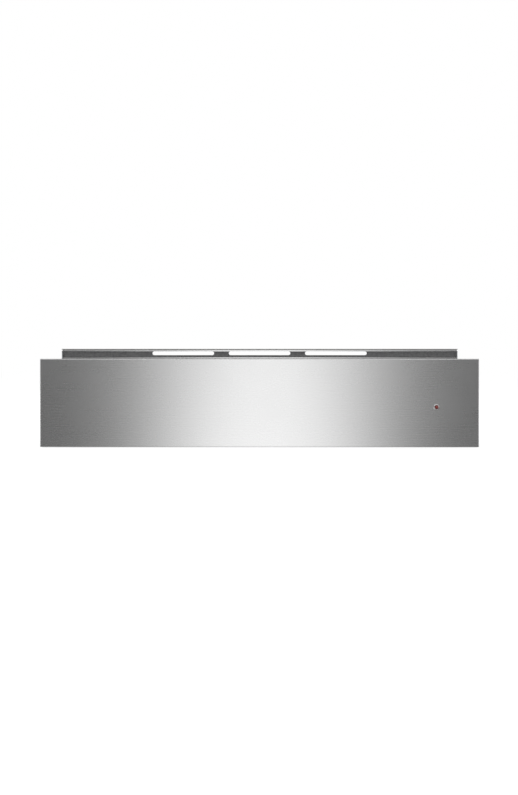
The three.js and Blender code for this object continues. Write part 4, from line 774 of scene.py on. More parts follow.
for side, sign in SIDES:
    low, high = box(f"cupboard_bracket_{side}")
    near, far = sorted((sign * low.x, sign * high.x))
    bend_y = low.y + BRACKET_ON_WALL * (high.y - low.y)
    wall = sign * (near + BRACKET_SHEET)
    section = fold(
        [(low.y, wall), (bend_y - BRACKET_SHEET, wall), (bend_y - BRACKET_SHEET, sign * far),
         (high.y, sign * far)],
        BRACKET_BENDS,
    )
    hole_z = [middle_of(f"bracket_screw_{side}_{end}").z for end in ("lower", "upper")]
    hole_y = [((low.y + bend_y) / 2, HOLE), ((bend_y + high.y) / 2, CUPBOARD_HOLE)]
    pressed_sheet(
        f"cupboard_bracket_plate_{side}", straight(low.z, high.z), section,
        "zyx", 0, zinc_plated, "chassis", f"cupboard_bracket_{side}", BRACKET_SHEET, out=sign > 0, soften=0.3,
        slots=[(z, np.interp(y, section[:, 1], section[:, 0]), r) for z in hole_z for y, r in hole_y],
    )


def tube_faces(rows, columns, ring=False, caps=False):
    """Faces over rows of points that each close on themselves. In a ring the last row joins the first, and
    caps close the two end rows."""
    number = np.arange(rows * columns).reshape(rows, columns)
    if ring:
        number = np.vstack([number, number[:1]])
    after = np.roll(number, -1, axis=1)
    faces = np.stack([number[:-1], after[:-1], after[1:], number[1:]], axis=-1).reshape(-1, 4).tolist()
    return faces + [number[0, ::-1].tolist(), number[-1].tolist()] if caps else faces


def turned(name, profile, axis, at, finish, body, node=None, sides=48, form=None):
    """A turned piece: (radius, distance) of the profile, from the low end's middle outwards and round to the
    high end's, carried round the axis through `at`. `form` may change them by the angle."""
    profile = np.asarray(profile, float)
    theta, r = np.meshgrid(np.linspace(0, 2 * np.pi, sides, endpoint=False), profile[:, 0])
    h = np.broadcast_to(profile[:, 1:], r.shape)
    if form:
        r, h = form(theta, r, h)
    points = np.empty((*r.shape, 3))
    first = "xyz".index(axis) + 1
    for place, numbers in enumerate((r * np.cos(theta), r * np.sin(theta), h), first):
        points[..., place % 3] = numbers + at[place % 3]
    uv = theta * profile[:, 0].max(), run_of(profile)[:, None]
    wall_and_edges(mesh_piece(name, points, tube_faces(*r.shape), finish, body, node, uv))


def rounded(profile, radius):
    """The profile with each corner between its ends rounded off."""
    return fold(profile, radius)[:, 1:]


def screw(node, axis, sign, sunk=False):
    """A cross-head screw in the place of its node, with its head to the axis's high end, or to its low end if
    `sign` is -1."""
    low, high = box(node)
    way = "xyz".index(axis)
    length = high[way] - low[way]
    radius, height = HEAD
    crown = radius * np.linspace(1, 0, CROWN_STEPS)[1:]
    if sunk:
        dome = 0 * crown
        rim = [(SHANK, -height), (radius - 0.1, -0.15), (radius, 0)]
    else:
        dome = -0.75 * (crown / radius) ** 3
        rim = [(SHANK, -height), (radius - 0.2, -height), (radius, 0.25 - height), (radius, -0.8)]
    profile = [(0, -length), (0.4 * SHANK, 0.3 - length), (SHANK, 2 - length), *rim, *zip(crown, dome)]

    def cross(theta, r, h):
        """Sinks the head along two crossing bars, with sloping walls and tapering ends."""
        x, y = r * np.cos(theta), r * np.sin(theta)
        half, reach, depth = RECESS
        wall, end = RECESS_EDGES
        bars = [np.clip((half + 0.6 * wall - abs(a)) / wall, 0, 1) * np.clip((reach - abs(b)) / end, 0, 1)
                for a, b in ((x, y), (y, x))]
        on_head = (sign * h > 0.5 - height) & (r < 0.9 * radius)
        return r, h - sign * np.where(on_head, depth * np.maximum(*bars), 0)

    at = (low + high) / 2
    at[way] = high[way] if sign > 0 else low[way]
    turned(f"{node}_crosshead", np.array(profile)[::sign] * (1, sign), axis, at, zinc_plated, "chassis", node,
           SCREW_SIDES, cross)


for name in cover_screws:
    screw(name, "z", 1, sunk=True)
for side, sign in SIDES:
    screw(f"rear_screw_{side}", "y", 1)
    for end in ("lower", "upper"):
        screw(f"bracket_screw_{side}_{end}", "x", sign)


# ---------------------------------------------------------------- telescopic runners
# Full-extension ball runners of zinc-plated steel: an outer member on the chassis wall, a middle member and
# an inner member on the tub. Their flanges are rolled round the balls, which two plastic cages keep apart.
RUNNER_SHEET = 1.2
RUNNER_LIP = 2.6
RACEWAY = 2.4  # radius round the balls
RUNNER_SLOT = (6, 2.2)
RUNNER_SLOTS = 4
RUNNER_SLOT_INSET = 30
RUNNER_MARGIN = 3
BALL = 1.9
BALL_GRID = (13, 24)
CAGE_SHEET = 0.8
CAGE_SLOT = (12, 5)
CAGE_BALLS = 5
CAGE_END = 10  # middle of the last ball to the cage's end

ball_steel = metal("ball_steel", 0.50, 0.70, 1500.0, (0.08, 0.23), 2.0, (0.2, 0.6), slot="zinc_plated")


def moulded(name, dark, light, rough, slot=None):
    """Moulded plastic: a fine spark-eroded grain, paler where it is rubbed, with a film of dust."""
    made, tree, shader = finish_of(name, slot)
    pits = noise(tree, 1600.0, 3.0)
    [film] = use(tree, handling)
    gloss = film * 0.14 + pits * 0.12 + (rough - 0.05)
    drive(shader, tone(film * 0.7 + pits * 0.5, dark, light, 0.1, 0.9), gloss, pits)
    return made


dark_plastic = moulded("dark_plastic", (0.018, 0.018, 0.020), (0.045, 0.045, 0.047), 0.42)
pale_plastic = moulded("pale_plastic", (0.60, 0.57, 0.49), (0.72, 0.70, 0.63), 0.48)


def runner_slots(low, high, slot):
    """Slots at even places along a runner's member or a cage."""
    places = np.linspace(low.y + RUNNER_SLOT_INSET, high.y - RUNNER_SLOT_INSET, RUNNER_SLOTS)
    return [(y, (low.z + high.z) / 2, *slot) for y in places]


def runner_member(node, body, lips, web_inside, slotted):
    """A channel along Y in the place of its node. Its web lies at the node's inner or outer side."""
    low, high = box(node)
    near, far = sorted((low.x, high.x), key=abs)
    web, tip = (near, far) if web_inside else (far, near)
    corners = [(low.z, tip), (low.z, web), (high.z, web), (high.z, tip)]
    if lips:
        corners = [(low.z + RUNNER_LIP, tip), *corners, (high.z - RUNNER_LIP, tip)]
    pressed_sheet(
        f"{node}_channel", straight(low.y, high.y), fold(corners, RACEWAY, 2 if lips else 1),
        "yzx", 0, zinc_plated, body, node, RUNNER_SHEET, out=tip > web, margin=RUNNER_MARGIN, soften=0.2,
        slots=runner_slots(low, high, RUNNER_SLOT) if slotted else (),
    )


def ball_cage(node, body):
    """The cage's strip, folded over the two rows of balls, and the balls themselves."""
    low, high = box(node)
    tip, web = sorted((low.x, high.x), key=abs)
    edge = BALL - CAGE_SHEET / 2
    corners = [(low.z + edge, tip), (low.z + edge, web), (high.z - edge, web), (high.z - edge, tip)]
    pressed_sheet(
        f"{node}_strip", straight(low.y, high.y), fold(corners, BEND, 1), "yzx", 0, dark_plastic, body, node,
        CAGE_SHEET, out=tip > web, slots=runner_slots(low, high, CAGE_SLOT),
    )
    middles = [(tip + np.sign(tip) * BALL, y, z) for z in (low.z + BALL, high.z - BALL)
               for y in np.linspace(low.y + CAGE_END, high.y - CAGE_END, CAGE_BALLS)]
    rise, turn = np.meshgrid(np.linspace(-np.pi / 2, np.pi / 2, BALL_GRID[0]),
                             np.linspace(0, 2 * np.pi, BALL_GRID[1], endpoint=False), indexing="ij")
    globe = BALL * np.stack([np.cos(rise) * np.cos(turn), np.cos(rise) * np.sin(turn), np.sin(rise)], axis=-1)
    points = np.array(middles)[:, None] + globe.reshape(1, -1, 3)
    faces = turn.size * np.arange(len(middles))[:, None, None] + np.array(tube_faces(*BALL_GRID))
    mesh_piece(f"{node}_balls", points, faces.reshape(-1, 4), ball_steel, body)


for side, _ in SIDES:
    runner_member(f"runner_outer_{side}", "chassis", True, False, True)
    runner_member(f"runner_middle_{side}", f"middle_{side}", True, False, False)
    runner_member(f"runner_inner_{side}", "drawer", False, True, True)
    for row in ("outer", "inner"):
        ball_cage(f"ball_cage_{row}_{side}", f"{row}_cage_{side}")


# ---------------------------------------------------------------- tub
# The tub is satin stainless steel: a floor between two side walls with a hem along the top, a back wall
# pierced for the hot air, and a hollow front rail, all spot-welded.
TUB_FLANGE = 12
TUB_HEM = 3
BACK_HEM = 5
INTAKE_SLOTS = 7
OUTLET_SLOTS = 5
AIR_SLOT = 1.9  # half width
OUTLET_HALF = 25
OUTLET_PITCH = 13
OUTLET_FROM_FAN = 26
BUTTON_HOLE = 8.3
SPINDLE_HOLE = 3.3
SATIN = ((0.66, 0.665, 0.67), (0.76, 0.765, 0.77), 0.38, 0.004, 0.5, "tub_steel")

satin_along = brushed_steel("tub_steel_along", (500.0, 9.0, 500.0), *SATIN)
satin_across = brushed_steel("tub_steel_across", (9.0, 500.0, 500.0), *SATIN)

low, high = box("drawer_floor")
foot = low.z - GAP - SHEET
pressed_sheet("drawer_floor_sheet", straight(low.x, high.x), straight(low.y, high.y),
              "xyz", high.z, satin_across, "drawer", "drawer_floor")

for side, sign in SIDES:
    low, high = box(f"drawer_side_{side}")
    inside = sign * min(abs(low.x), abs(high.x))
    wall, hem = inside + sign * TUB_FLANGE, high.z - SHEET
    pressed_sheet(
        f"drawer_side_sheet_{side}", straight(low.y, high.y),
        fold([(inside, foot), (wall, foot), (wall, hem), (wall + sign * TUB_HEM, hem)], BEND, 1),
        "yxz", 0, satin_along, "drawer", f"drawer_side_{side}", out=sign < 0,
    )


def air_slots():
    """The slots that the tub's back wall and the grille share: an intake in a circle, and outlets."""
    fan = (fan_high.x - fan_low.x) / 2
    reach = fan - 2 * AIR_SLOT
    intake = reach * (2 * np.arange(INTAKE_SLOTS) + 1 - INTAKE_SLOTS) / INTAKE_SLOTS
    outlet = fan + OUTLET_FROM_FAN + OUTLET_PITCH * np.arange(OUTLET_SLOTS)
    slots = [(x, fan_z, AIR_SLOT, np.sqrt(reach**2 - x**2)) for x in intake]
    return slots + [(s * x, fan_z, AIR_SLOT, OUTLET_HALF) for s in (-1, 1) for x in outlet]


low, high = box("drawer_back")
pressed_sheet(
    "drawer_back_sheet", straight(low.x, high.x),
    fold([(low.z, 0), (high.z, 0), (high.z, -BACK_HEM - SHEET)], BEND),
    "xzy", high.y, satin_across, "drawer", "drawer_back", out=True, slots=air_slots(),
)

low, high = box("inner_front")
knob, button = middle_of("thermostat_knob"), middle_of("power_button")
pressed_sheet(
    "inner_front_sheet", straight(low.x, high.x),
    fold([(low.y, low.z), (low.y, high.z), (high.y, high.z), (high.y, low.z)], BEND, 1),
    "xyz", 0, satin_across, "drawer", "inner_front",
    slots=[(knob.x, knob.y, SPINDLE_HOLE), (button.x, knob.y, BUTTON_HOLE)],
)


# ---------------------------------------------------------------- ribbed mat
# A loose mat of black silicone lies on the tub's floor. Rounded ribs run across it, so that dishes do not
# slide, inside a plain border.
MAT_RIB = (1.5, 1.0)  # half width and height
MAT_RIB_PITCH = 18
MAT_BORDER = 3

silicone, tree, shader = finish_of("silicone", Specular_IOR_Level=0.35)
bloom = use(tree, handling)[0] * 0.35 + noise(tree, 700.0, 3.0) * 0.5
drive(shader, tone(bloom, (0.012, 0.012, 0.013), (0.040, 0.040, 0.041), 0.1), bloom * 0.16 + 0.6,
      noise(tree, 2200.0), 0.03)

low, high = box("floor_mat")
rib_count = int((high.y - low.y - 4 * MAT_RIB[0]) / MAT_RIB_PITCH)
rib_y = (low.y + high.y) / 2 + MAT_RIB_PITCH * (np.arange(rib_count) - (rib_count - 1) / 2)
rib_end = high.x - MAT_BORDER
mat_top = high.z - MAT_RIB[1]


def ribs(u, v):
    """Half-round ribs over (u, v), which run out at the border."""
    away = np.min(abs(v[:, None] - rib_y), axis=1)
    full = np.clip((rib_end - abs(u)) / MAT_RIB[1], 0, 1)
    return MAT_RIB[1] * np.sqrt(np.clip(1 - (away / MAT_RIB[0]) ** 2, 0, 1)) * np.sqrt(full * (2 - full))


rib_rise = MAT_RIB[0] * np.sin(np.linspace(-np.pi / 2, np.pi / 2, 9))
border_rise = rib_end - MAT_RIB[1] * np.linspace(0, 1, 5)
pressed_sheet(
    "ribbed_mat", straight(low.x, high.x), straight(low.y, high.y),
    "xyz", mat_top, silicone, "drawer", "floor_mat", mat_top - low.z, press=ribs,
    extra_u=[-border_rise, border_rise], extra_v=[rib_y[:, None] + rib_rise], soften=0.4,
)


# ---------------------------------------------------------------- control panel, knob and button
# A strip of black glass is let into the top of the front rail. It carries a thermostat knob with a printed
# scale, and a push button; the thermostat and the switch hang under the rail.
def softened(name, node, finish, body, width):
    """A copy of the CAD node with its edges taken off, for a piece that is plain on the real drawer too."""
    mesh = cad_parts[node].data.copy()
    loose = bmesh.new()
    loose.from_mesh(mesh)
    bmesh.ops.remove_doubles(loose, verts=loose.verts, dist=2e-6)
    bmesh.ops.dissolve_limit(loose, angle_limit=np.radians(0.5), verts=loose.verts, edges=loose.edges)
    loose.to_mesh(mesh)
    loose.free()
    wall_and_edges(as_piece(name, mesh, finish, body, node), soften=width, angle=30)


black_glass, tree, shader = finish_of("black_glass", Coat_Weight=1.0, Coat_Roughness=0.03)
[smear] = use(tree, handling, Patch_Size=25 * MM)
drive(shader, tone(smear, (0.006, 0.006, 0.007), (0.016, 0.016, 0.017)), smear * 0.22 + 0.05)
softened("control_glass", "control_panel", black_glass, "drawer", 0.4)

KNOB_GRIPS = 12
KNOB_GROOVE = 1.0  # depth of the finger grooves
KNOB_SKIRT = 1.4
KNOB_SHAFT = 3
KNOB_SLOPE = 0.8  # height over which the drum narrows above its skirt
KNOB_NARROW = (0.93, 0.89)  # its radius above the skirt and at the top, as shares
KNOB_RINGS = 60
KNOB_SIDES = 144
PRINT = 0.03

low, high = box("thermostat_knob")
knob_radius = (high.x - low.x) / 2
glass_top = box("control_panel")[1].z
knob_bottom, knob_top, pointer_top = glass_top + GAP, high.z - 0.4, high.z
skirt_top = knob_bottom + KNOB_SKIRT


def grips(theta, r, h):
    """Finger grooves: above its skirt the drum's radius drops by a cosine hollow between its ridges."""
    hollow = np.clip(-np.cos(KNOB_GRIPS * theta), 0, 1) ** 0.8
    above = np.clip((h - skirt_top) / KNOB_SLOPE, 0, 1)
    outer = np.clip((r - 0.75 * knob_radius) / (0.1 * knob_radius), 0, 1)
    return r - KNOB_GROOVE * hollow * above * outer, h


def resampled(profile, count):
    """The profile with further points, so that none are far apart."""
    run = run_of(profile)
    places = lines(run, np.linspace(0, run[-1], count))
    return np.column_stack([np.interp(places, run, numbers) for numbers in profile.T])


drum = rounded(
    [(0, low.z), (KNOB_SHAFT, low.z), (KNOB_SHAFT, knob_bottom), (knob_radius, knob_bottom),
     (knob_radius, skirt_top), (KNOB_NARROW[0] * knob_radius, skirt_top + KNOB_SLOPE),
     (KNOB_NARROW[1] * knob_radius, knob_top), (0, knob_top - 0.5)],
    (0.3, 0.3, 0.3, 0.5, 0.5, 1.6),
)
turned("knob_drum", resampled(drum, KNOB_RINGS), "z", (knob.x, knob.y, 0), dark_plastic, "knob",
       "thermostat_knob", KNOB_SIDES, grips)

# The scale is screen-printed on the glass: short strokes over 270 degrees and the temperatures in degrees.
SCALE = (14.9, 16.1, 0.35)  # inner and outer radius and width of a stroke
SCALE_TURN = 270
SCALE_MARKS = 11
NUMBER_SIZE = 3.4
NUMBER_RADIUS = 18.0
SIGN_FROM_BUTTON = 17
SIGN_RADIUS = 2.4
SIGN_GAP = 40  # degrees from its top to each end of the ring
printed = moulded("printed_white", (0.66, 0.66, 0.64), (0.78, 0.78, 0.76), 0.5, "pale_plastic")


def raised_strokes(name, starts, ends):
    """Flat strokes from each start to each end: four corners on the glass and four a print's thickness up."""
    along = ends - starts
    beside = SCALE[2] / 2 * along[:, ::-1] * (-1, 1) / np.linalg.norm(along, axis=1, keepdims=True)
    ground = np.stack([starts - beside, starts + beside, ends + beside, ends - beside], axis=1)
    ground = np.concatenate([ground, np.full((*ground.shape[:2], 1), glass_top)], axis=2)
    points = np.concatenate([ground, ground + [0, 0, PRINT]], axis=1)
    block = np.array([[0, 1, 2, 3], [7, 6, 5, 4], [0, 4, 5, 1], [1, 5, 6, 2], [2, 6, 7, 3], [3, 7, 4, 0]])
    faces = 8 * np.arange(len(starts))[:, None, None] + block
    mesh_piece(name, points, faces.reshape(-1, 4), printed, "drawer")


def circle(turn):
    """Points on the unit circle at those angles, in degrees."""
    return np.column_stack([np.cos(np.radians(turn)), np.sin(np.radians(turn))])


def printed_words(name, words, at):
    """A word or number as a thin raised print, its middle at `at`, read from the front."""
    curve = bpy.data.curves.new(name, "FONT")
    curve.body = words
    curve.size = NUMBER_SIZE * MM
    curve.align_x = "CENTER"
    curve.align_y = "CENTER"
    curve.resolution_u = 3
    curve.extrude = PRINT / 2 * MM
    drawn = bpy.data.objects.new(name, curve)
    flat = bpy.data.meshes.new_from_object(drawn)
    bpy.data.objects.remove(drawn)
    points = np.empty(3 * len(flat.vertices))
    flat.vertices.foreach_get("co", points)
    points = points.reshape(-1, 3) / MM + [*at, glass_top + PRINT / 2]
    mesh_piece(name, points, [list(face.vertices) for face in flat.polygons], printed, "drawer")


around = circle(-90 - np.linspace(0, SCALE_TURN, SCALE_MARKS))
centre = np.array([knob.x, knob.y])
raised_strokes("scale_strokes", centre + SCALE[0] * around, centre + SCALE[1] * around)
for place, words in zip(range(0, SCALE_MARKS, 2), ("0", "40", "50", "60", "70", "80")):
    printed_words(f"scale_number_{words}", words, centre + NUMBER_RADIUS * around[place])

# The on/off sign beside the button: an open ring with an upright stroke through the gap.
sign_at = np.array([button.x - SIGN_FROM_BUTTON, knob.y])
bow = sign_at + SIGN_RADIUS * circle(90 + np.linspace(SIGN_GAP, 360 - SIGN_GAP, 25))
stroke = sign_at + [[0, 0.4 * SIGN_RADIUS], [0, 1.4 * SIGN_RADIUS]]
raised_strokes("power_sign", np.vstack([bow[:-1], stroke[:1]]), np.vstack([bow[1:], stroke[1:]]))

# The button's cap is dished for the finger.
BUTTON_STEM = 3
BUTTON_UNDER = 2.6  # from the stem's foot to the cap
BUTTON_DISH = 0.7
BUTTON_SIDES = 72
low, high = box("power_button")
radius = (high.x - low.x) / 2
cap_foot = low.z + BUTTON_UNDER
cap = rounded(
    [(0, low.z), (BUTTON_STEM, low.z), (BUTTON_STEM, cap_foot), (radius, cap_foot), (radius, high.z),
     (0.72 * radius, high.z), (0.70 * radius, high.z - 0.1)],
    (0.3, 0.5, 0.3, 1.1, 0.2),
)
dish = np.linspace(1, 0, 12)
cap = [*cap, *zip(0.69 * radius * dish, high.z - BUTTON_DISH * (1.15 - dish**2))]
turned("push_button", cap, "z", (button.x, knob.y, 0), dark_plastic, "button", "power_button",
       BUTTON_SIDES)

CORNER_STEPS = 6
LEAST_CORNER = 0.02


def carried(name, low, high, axis, corner, profile, finish, body, node=None, ring=False):
    """A section carried round a rounded rectangle that fills low..high across `axis`. Each row of `profile`
    is how far the surface stands in from the rectangle's sides, and its place along the axis. A ring's
    section closes on itself; otherwise its two ends are closed flat."""
    profile = np.asarray(profile, float)
    along = "xyz".index(axis)
    turn = np.linspace(0, np.pi / 2, CORNER_STEPS + 1)
    quarter = np.concatenate([turn, turn + np.pi / 2, turn + np.pi, turn + 1.5 * np.pi])
    sides = np.repeat([[1, -1, -1, 1], [1, 1, -1, -1]], CORNER_STEPS + 1, axis=1)
    inset = profile[:, :1]
    radius = np.maximum(corner - inset, LEAST_CORNER)
    points = np.empty((len(profile), len(quarter), 3))
    points[..., along] = profile[:, 1:]
    for way, side, unit in zip((along + 1, along + 2), sides, (np.cos(quarter), np.sin(quarter))):
        way %= 3
        half = (high[way] - low[way]) / 2
        points[..., way] = (high[way] + low[way]) / 2 + side * (half - inset - radius) + radius * unit
    faces = tube_faces(*points.shape[:2], ring, caps=not ring)
    uv = run_of(points[0]), run_of(profile)[:, None]
    wall_and_edges(mesh_piece(name, points, faces, finish, body, node, uv))


# The knob's pointer is a pale bar let into its top, from the edge half way to the middle.
POINTER = (0.8, 12.3, 6)  # half width, and its ends' distances from the knob's axis
POINTER_EDGE = 0.2
low = (knob.x - POINTER[0], knob.y - POINTER[1])
high = (knob.x + POINTER[0], knob.y - POINTER[2])
profile = [(0, knob_top - 1.5), (0, pointer_top - POINTER_EDGE), (POINTER_EDGE, pointer_top)]
carried("knob_pointer", low, high, "z", POINTER[0] / 2, profile, printed, "knob", "thermostat_knob")

# Thermostat and switch: two moulded housings, each with a parting line and a row of blade terminals.
HOUSING_CORNER = 2.5
HOUSING_FOOT = 5  # above the ends of the blades
BLADE = (0.4, 2.4, 6)  # half thickness, half width and length
BLADE_PITCH = 8
brass = metal("brass", (0.48, 0.33, 0.13), (0.72, 0.56, 0.27), 500.0, (0.2, 0.4), depth=0.01,
              slot="zinc_plated")


def housing(name, node, terminals):
    """A moulded box with a lid: a groove runs round it where the two meet, above its blade terminals."""
    low, high = box(node)
    foot, top = low.z + HOUSING_FOOT, high.z
    lip = foot + 0.35 * (top - foot)
    profile = [(6, foot), (1, foot), (0.3, foot + 0.3), (0, foot + 1), (0, lip), (0.5, lip + 0.2),
               (0.5, lip + 0.7), (0, lip + 0.9), (0, top - 0.8), (0.3, top - 0.2), (0.9, top)]
    carried(name, low, high, "z", HOUSING_CORNER, profile, pale_plastic, "drawer", node)
    middle = (low + high) / 2
    blade_x = middle.x + BLADE_PITCH * (np.arange(terminals) - (terminals - 1) / 2)
    tip = [(0.25, low.z), (0, low.z + 0.6), (0, low.z + BLADE[2])]
    for number, x in enumerate(blade_x):
        a, b = (x - BLADE[0], middle.y - BLADE[1]), (x + BLADE[0], middle.y + BLADE[1])
        carried(f"{name}_blade_{number}", a, b, "z", BLADE[0] / 2, tip, brass, "drawer")


housing("thermostat_housing", "thermostat_body", 3)
housing("switch_housing", "switch_body", 2)


# ---------------------------------------------------------------- fascia, liner and seal
# The front is one sheet of stainless steel, brushed from side to side, with its four edges folded back.
# A galvanised tray closes it from behind, and a silicone seal runs round that tray.
FASCIA_SHEET = 1.2
FASCIA_BEND = 1.2
LAMP_SLEEVE = 3.7
SEAL_HALF = 2.3  # half the width of its foot
SEAL_FOOT = 0.6
SEAL_BULB = 1.4
SEAL_CORNER = 6

low, high = box("front_fascia")
lamp = middle_of("lamp_bezel")
face_y, depth = low.y, high.y - low.y
pressed_sheet(
    "fascia_skin", *(tray(*ends, depth, bend=FASCIA_BEND) for ends in ((low.x, high.x), (low.z, high.z))),
    "xzy", face_y, brushed_front, "drawer", "front_fascia", FASCIA_SHEET,
    slots=[(lamp.x, lamp.z, LAMP_SLEEVE)],
)

low, high = box("front_liner")
depth = low.y - high.y
pressed_sheet("liner_tray", tray(low.x, high.x, depth), tray(low.z, high.z, depth),
              "xzy", high.y, galvanised, "drawer", "front_liner", out=True)

low, high = box("front_seal")
arc = np.linspace(0, np.pi, 9)
bulb = np.column_stack([SEAL_HALF - SEAL_BULB * np.cos(arc), high.y - SEAL_BULB * (1 - np.sin(arc))])
strip = [(2 * SEAL_HALF, low.y + SEAL_FOOT), (2 * SEAL_HALF, low.y), (0, low.y), (0, low.y + SEAL_FOOT)]
carried("bulb_seal", low, high, "y", SEAL_CORNER, [*bulb, *strip], silicone, "drawer", "front_seal", True)


# ---------------------------------------------------------------- pilot lamp
# A turned chrome ring holds a domed red lens. The neon stands in a plastic holder behind the front.
LENS_RADIUS = 2.5
LENS_DOME = 0.9
BEZEL_SIDES = 64

chrome = metal("chrome", (0.72, 0.71, 0.71), (0.86, 0.86, 0.87), 900.0, (0.03, 0.11), 3.0)
red_lens, tree, shader = finish_of("red_lens", IOR=1.49, Transmission_Weight=0.25, Coat_Weight=1.0)
depths = noise(tree, 500.0)
drive(shader, tone(depths, (0.17, 0.024, 0.022), (0.36, 0.056, 0.046), 0.25, 0.75),
      noise(tree, 1500.0) * 0.1 + 0.12, depths, 0.05)

low, high = box("lamp_bezel")
outer, bore, sleeve = (high.x - low.x) / 2, LENS_RADIUS + 0.2, LENS_RADIUS + 0.9
foot = face_y - 0.05
ring_section = [
    (bore, high.y), (bore, low.y + 0.35), (bore + 0.25, low.y + 0.03), (bore + 0.45, low.y),
    (outer - 0.68, low.y + 0.03), (outer - 0.06, foot - 0.1), (outer, foot), (sleeve, foot), (sleeve, high.y),
    (bore, high.y),
]
turned("bezel_ring", ring_section, "y", (lamp.x, 0, lamp.z), chrome, "drawer", "lamp_bezel",
       BEZEL_SIDES)

low, high = box("lamp_lens")
dome = np.linspace(0, 1, 10)
lens = [*zip(LENS_RADIUS * dome, low.y + LENS_DOME * dome**2), (LENS_RADIUS, high.y), (0, high.y)]
turned("lens_dome", lens, "y", (lamp.x, 0, lamp.z), red_lens, "drawer", "lamp_lens")
softened("neon_holder", "lamp_holder", pale_plastic, "drawer", 0.3)


# ---------------------------------------------------------------- hot-air unit
# Behind the tub a galvanised box holds a fan wheel with a heating tube bent round it. A grille faces the
# tub, a shaded-pole motor drives the wheel from behind, and a snap-disc cut-out sits on top.
TUBE = 3.2
TUBE_SIDES = 16
LOOP_STEPS = 121
TUBE_EASE = (1, 4)  # step of its path, and how far round each point its bends are eased
TUBE_SPREAD = 13  # from the middle to each of the tube's ends
FAN_PLATE = 1
FAN_BLADES = 18
BLADE_SHEET = 0.8
BLADE_GRID = (9, 3)
BLADE_FROM, BLADE_REACH = 0.56, 0.43  # shares of the wheel's radius
BLADE_SWEEP, BLADE_HOLLOW = 0.42, 0.10  # radians
FAN_DEPTH = 20
HUB = 7
AXLE = 2.5
WHEEL_SIDES = 96
HEATER_SHEET = 0.8

low, high = box("baffle_grille")
pressed_sheet("air_grille", straight(low.x, high.x), straight(low.z, high.z),
              "xzy", low.y, galvanised, "chassis", "baffle_grille", slots=air_slots())

heater_high = box("heating_element")[1]
ring_radius = heater_high.x - TUBE
ring_y = fan_low.y + FAN_DEPTH / 2
tube_top = fan_z + ring_radius
low, high = box("heater_box")
depth = low.y - high.y
box_back = high.y
pressed_sheet(
    "heater_tray", tray(low.x, high.x, depth), tray(low.z, high.z, depth),
    "xzy", box_back, galvanised, "chassis", "heater_box", HEATER_SHEET, out=True,
    slots=[(0, fan_z, AXLE + GAP), *((s * TUBE_SPREAD, tube_top, TUBE + GAP) for s in (-1, 1))],
)


def eased(corners, step, reach):
    """Points every `step` along the polyline, each moved to the mean of its neighbours within `reach`."""
    lengths = run_of(corners)
    at = np.linspace(0, lengths[-1], int(lengths[-1] / step) + 1)
    path = np.column_stack([np.interp(at, lengths, numbers) for numbers in corners.T])
    wide = int(reach / step)
    kernel = np.ones(2 * wide + 1) / (2 * wide + 1)
    for _ in range(2):
        start = 2 * path[0] - path[wide:0:-1]
        end = 2 * path[-1] - path[-2:-wide - 2:-1]
        whole = np.concatenate([start, path, end])
        path = np.column_stack([np.convolve(numbers, kernel, "valid") for numbers in whole.T])
    return path


def swept(name, path, across, radius, sides, finish, body, node):
    """A round tube along `path`, closed at its ends. `across` points roughly away from the path at each
    point, and the tube's corners are counted from it."""
    forward = np.gradient(path, axis=0)
    forward /= np.linalg.norm(forward, axis=1, keepdims=True)
    first = across - np.sum(across * forward, axis=1, keepdims=True) * forward
    first /= np.linalg.norm(first, axis=1, keepdims=True)
    second = np.cross(forward, first)
    turn = np.linspace(0, 2 * np.pi, sides, endpoint=False)[:, None]
    points = path[:, None] + radius * (np.cos(turn) * first[:, None] + np.sin(turn) * second[:, None])
    uv = run_of(path)[:, None], radius * turn.T
    return mesh_piece(name, points, tube_faces(len(path), sides, caps=True), finish, body, node, uv)


# The tube's sheath has turned straw, brown and blue where it glows, and stays grey at its cold ends.
TINTS = ((0.0, (0.40, 0.40, 0.40)), (0.10, (0.40, 0.38, 0.33)), (0.16, (0.38, 0.27, 0.14)),
         (0.24, (0.20, 0.13, 0.12)), (0.32, (0.13, 0.15, 0.22)), (0.5, (0.16, 0.14, 0.14)))
whole_length = MM * (2 * np.pi * ring_radius + 2 * (heater_high.y - ring_y))
heater_sheath, tree, shader = finish_of("heater_sheath", Metallic=1.0)
sheet_uv = read(tree, "ShaderNodeUVMap", 0, {"uv_map": "sheet"})
length = read(tree, "ShaderNodeSeparateXYZ", "X", Vector=sheet_uv)
folded = calculated("PINGPONG", (noise(tree, 45.0, 3.0) * 0.05 + length) / whole_length, 0.5)
tint = add(tree, "ShaderNodeValToRGB", _0=folded)
while len(tint.color_ramp.elements) < len(TINTS):
    tint.color_ramp.elements.new(0.5)
for stop, (place, colour) in zip(tint.color_ramp.elements, TINTS):
    stop.position = place
    stop.color = (*colour, 1)
scale_marks = noise(tree, 1200.0, 3.0)
drive(shader, Field(tint.outputs[0]), scale_marks * 0.25 + 0.3, scale_marks)

gap = np.arcsin(TUBE_SPREAD / ring_radius) + 3 * TUBE / ring_radius
turn = np.pi / 2 + gap + (2 * np.pi - 2 * gap) * np.linspace(0, 1, LOOP_STEPS)
loop = np.column_stack([ring_radius * np.cos(turn), 0 * turn + ring_y, fan_z + ring_radius * np.sin(turn)])
lead_in = [(-TUBE_SPREAD, heater_high.y, tube_top), (-TUBE_SPREAD, ring_y, tube_top)]
lead_out = [(TUBE_SPREAD, ring_y, tube_top), (TUBE_SPREAD, heater_high.y, tube_top)]
path = eased(np.array([*lead_in, *loop, *lead_out]), *TUBE_EASE)
outwards = path * (1, 0, 1) - (0, 0, fan_z)
swept("heating_tube", path, outwards, TUBE, TUBE_SIDES, heater_sheath, "chassis", "heating_element")

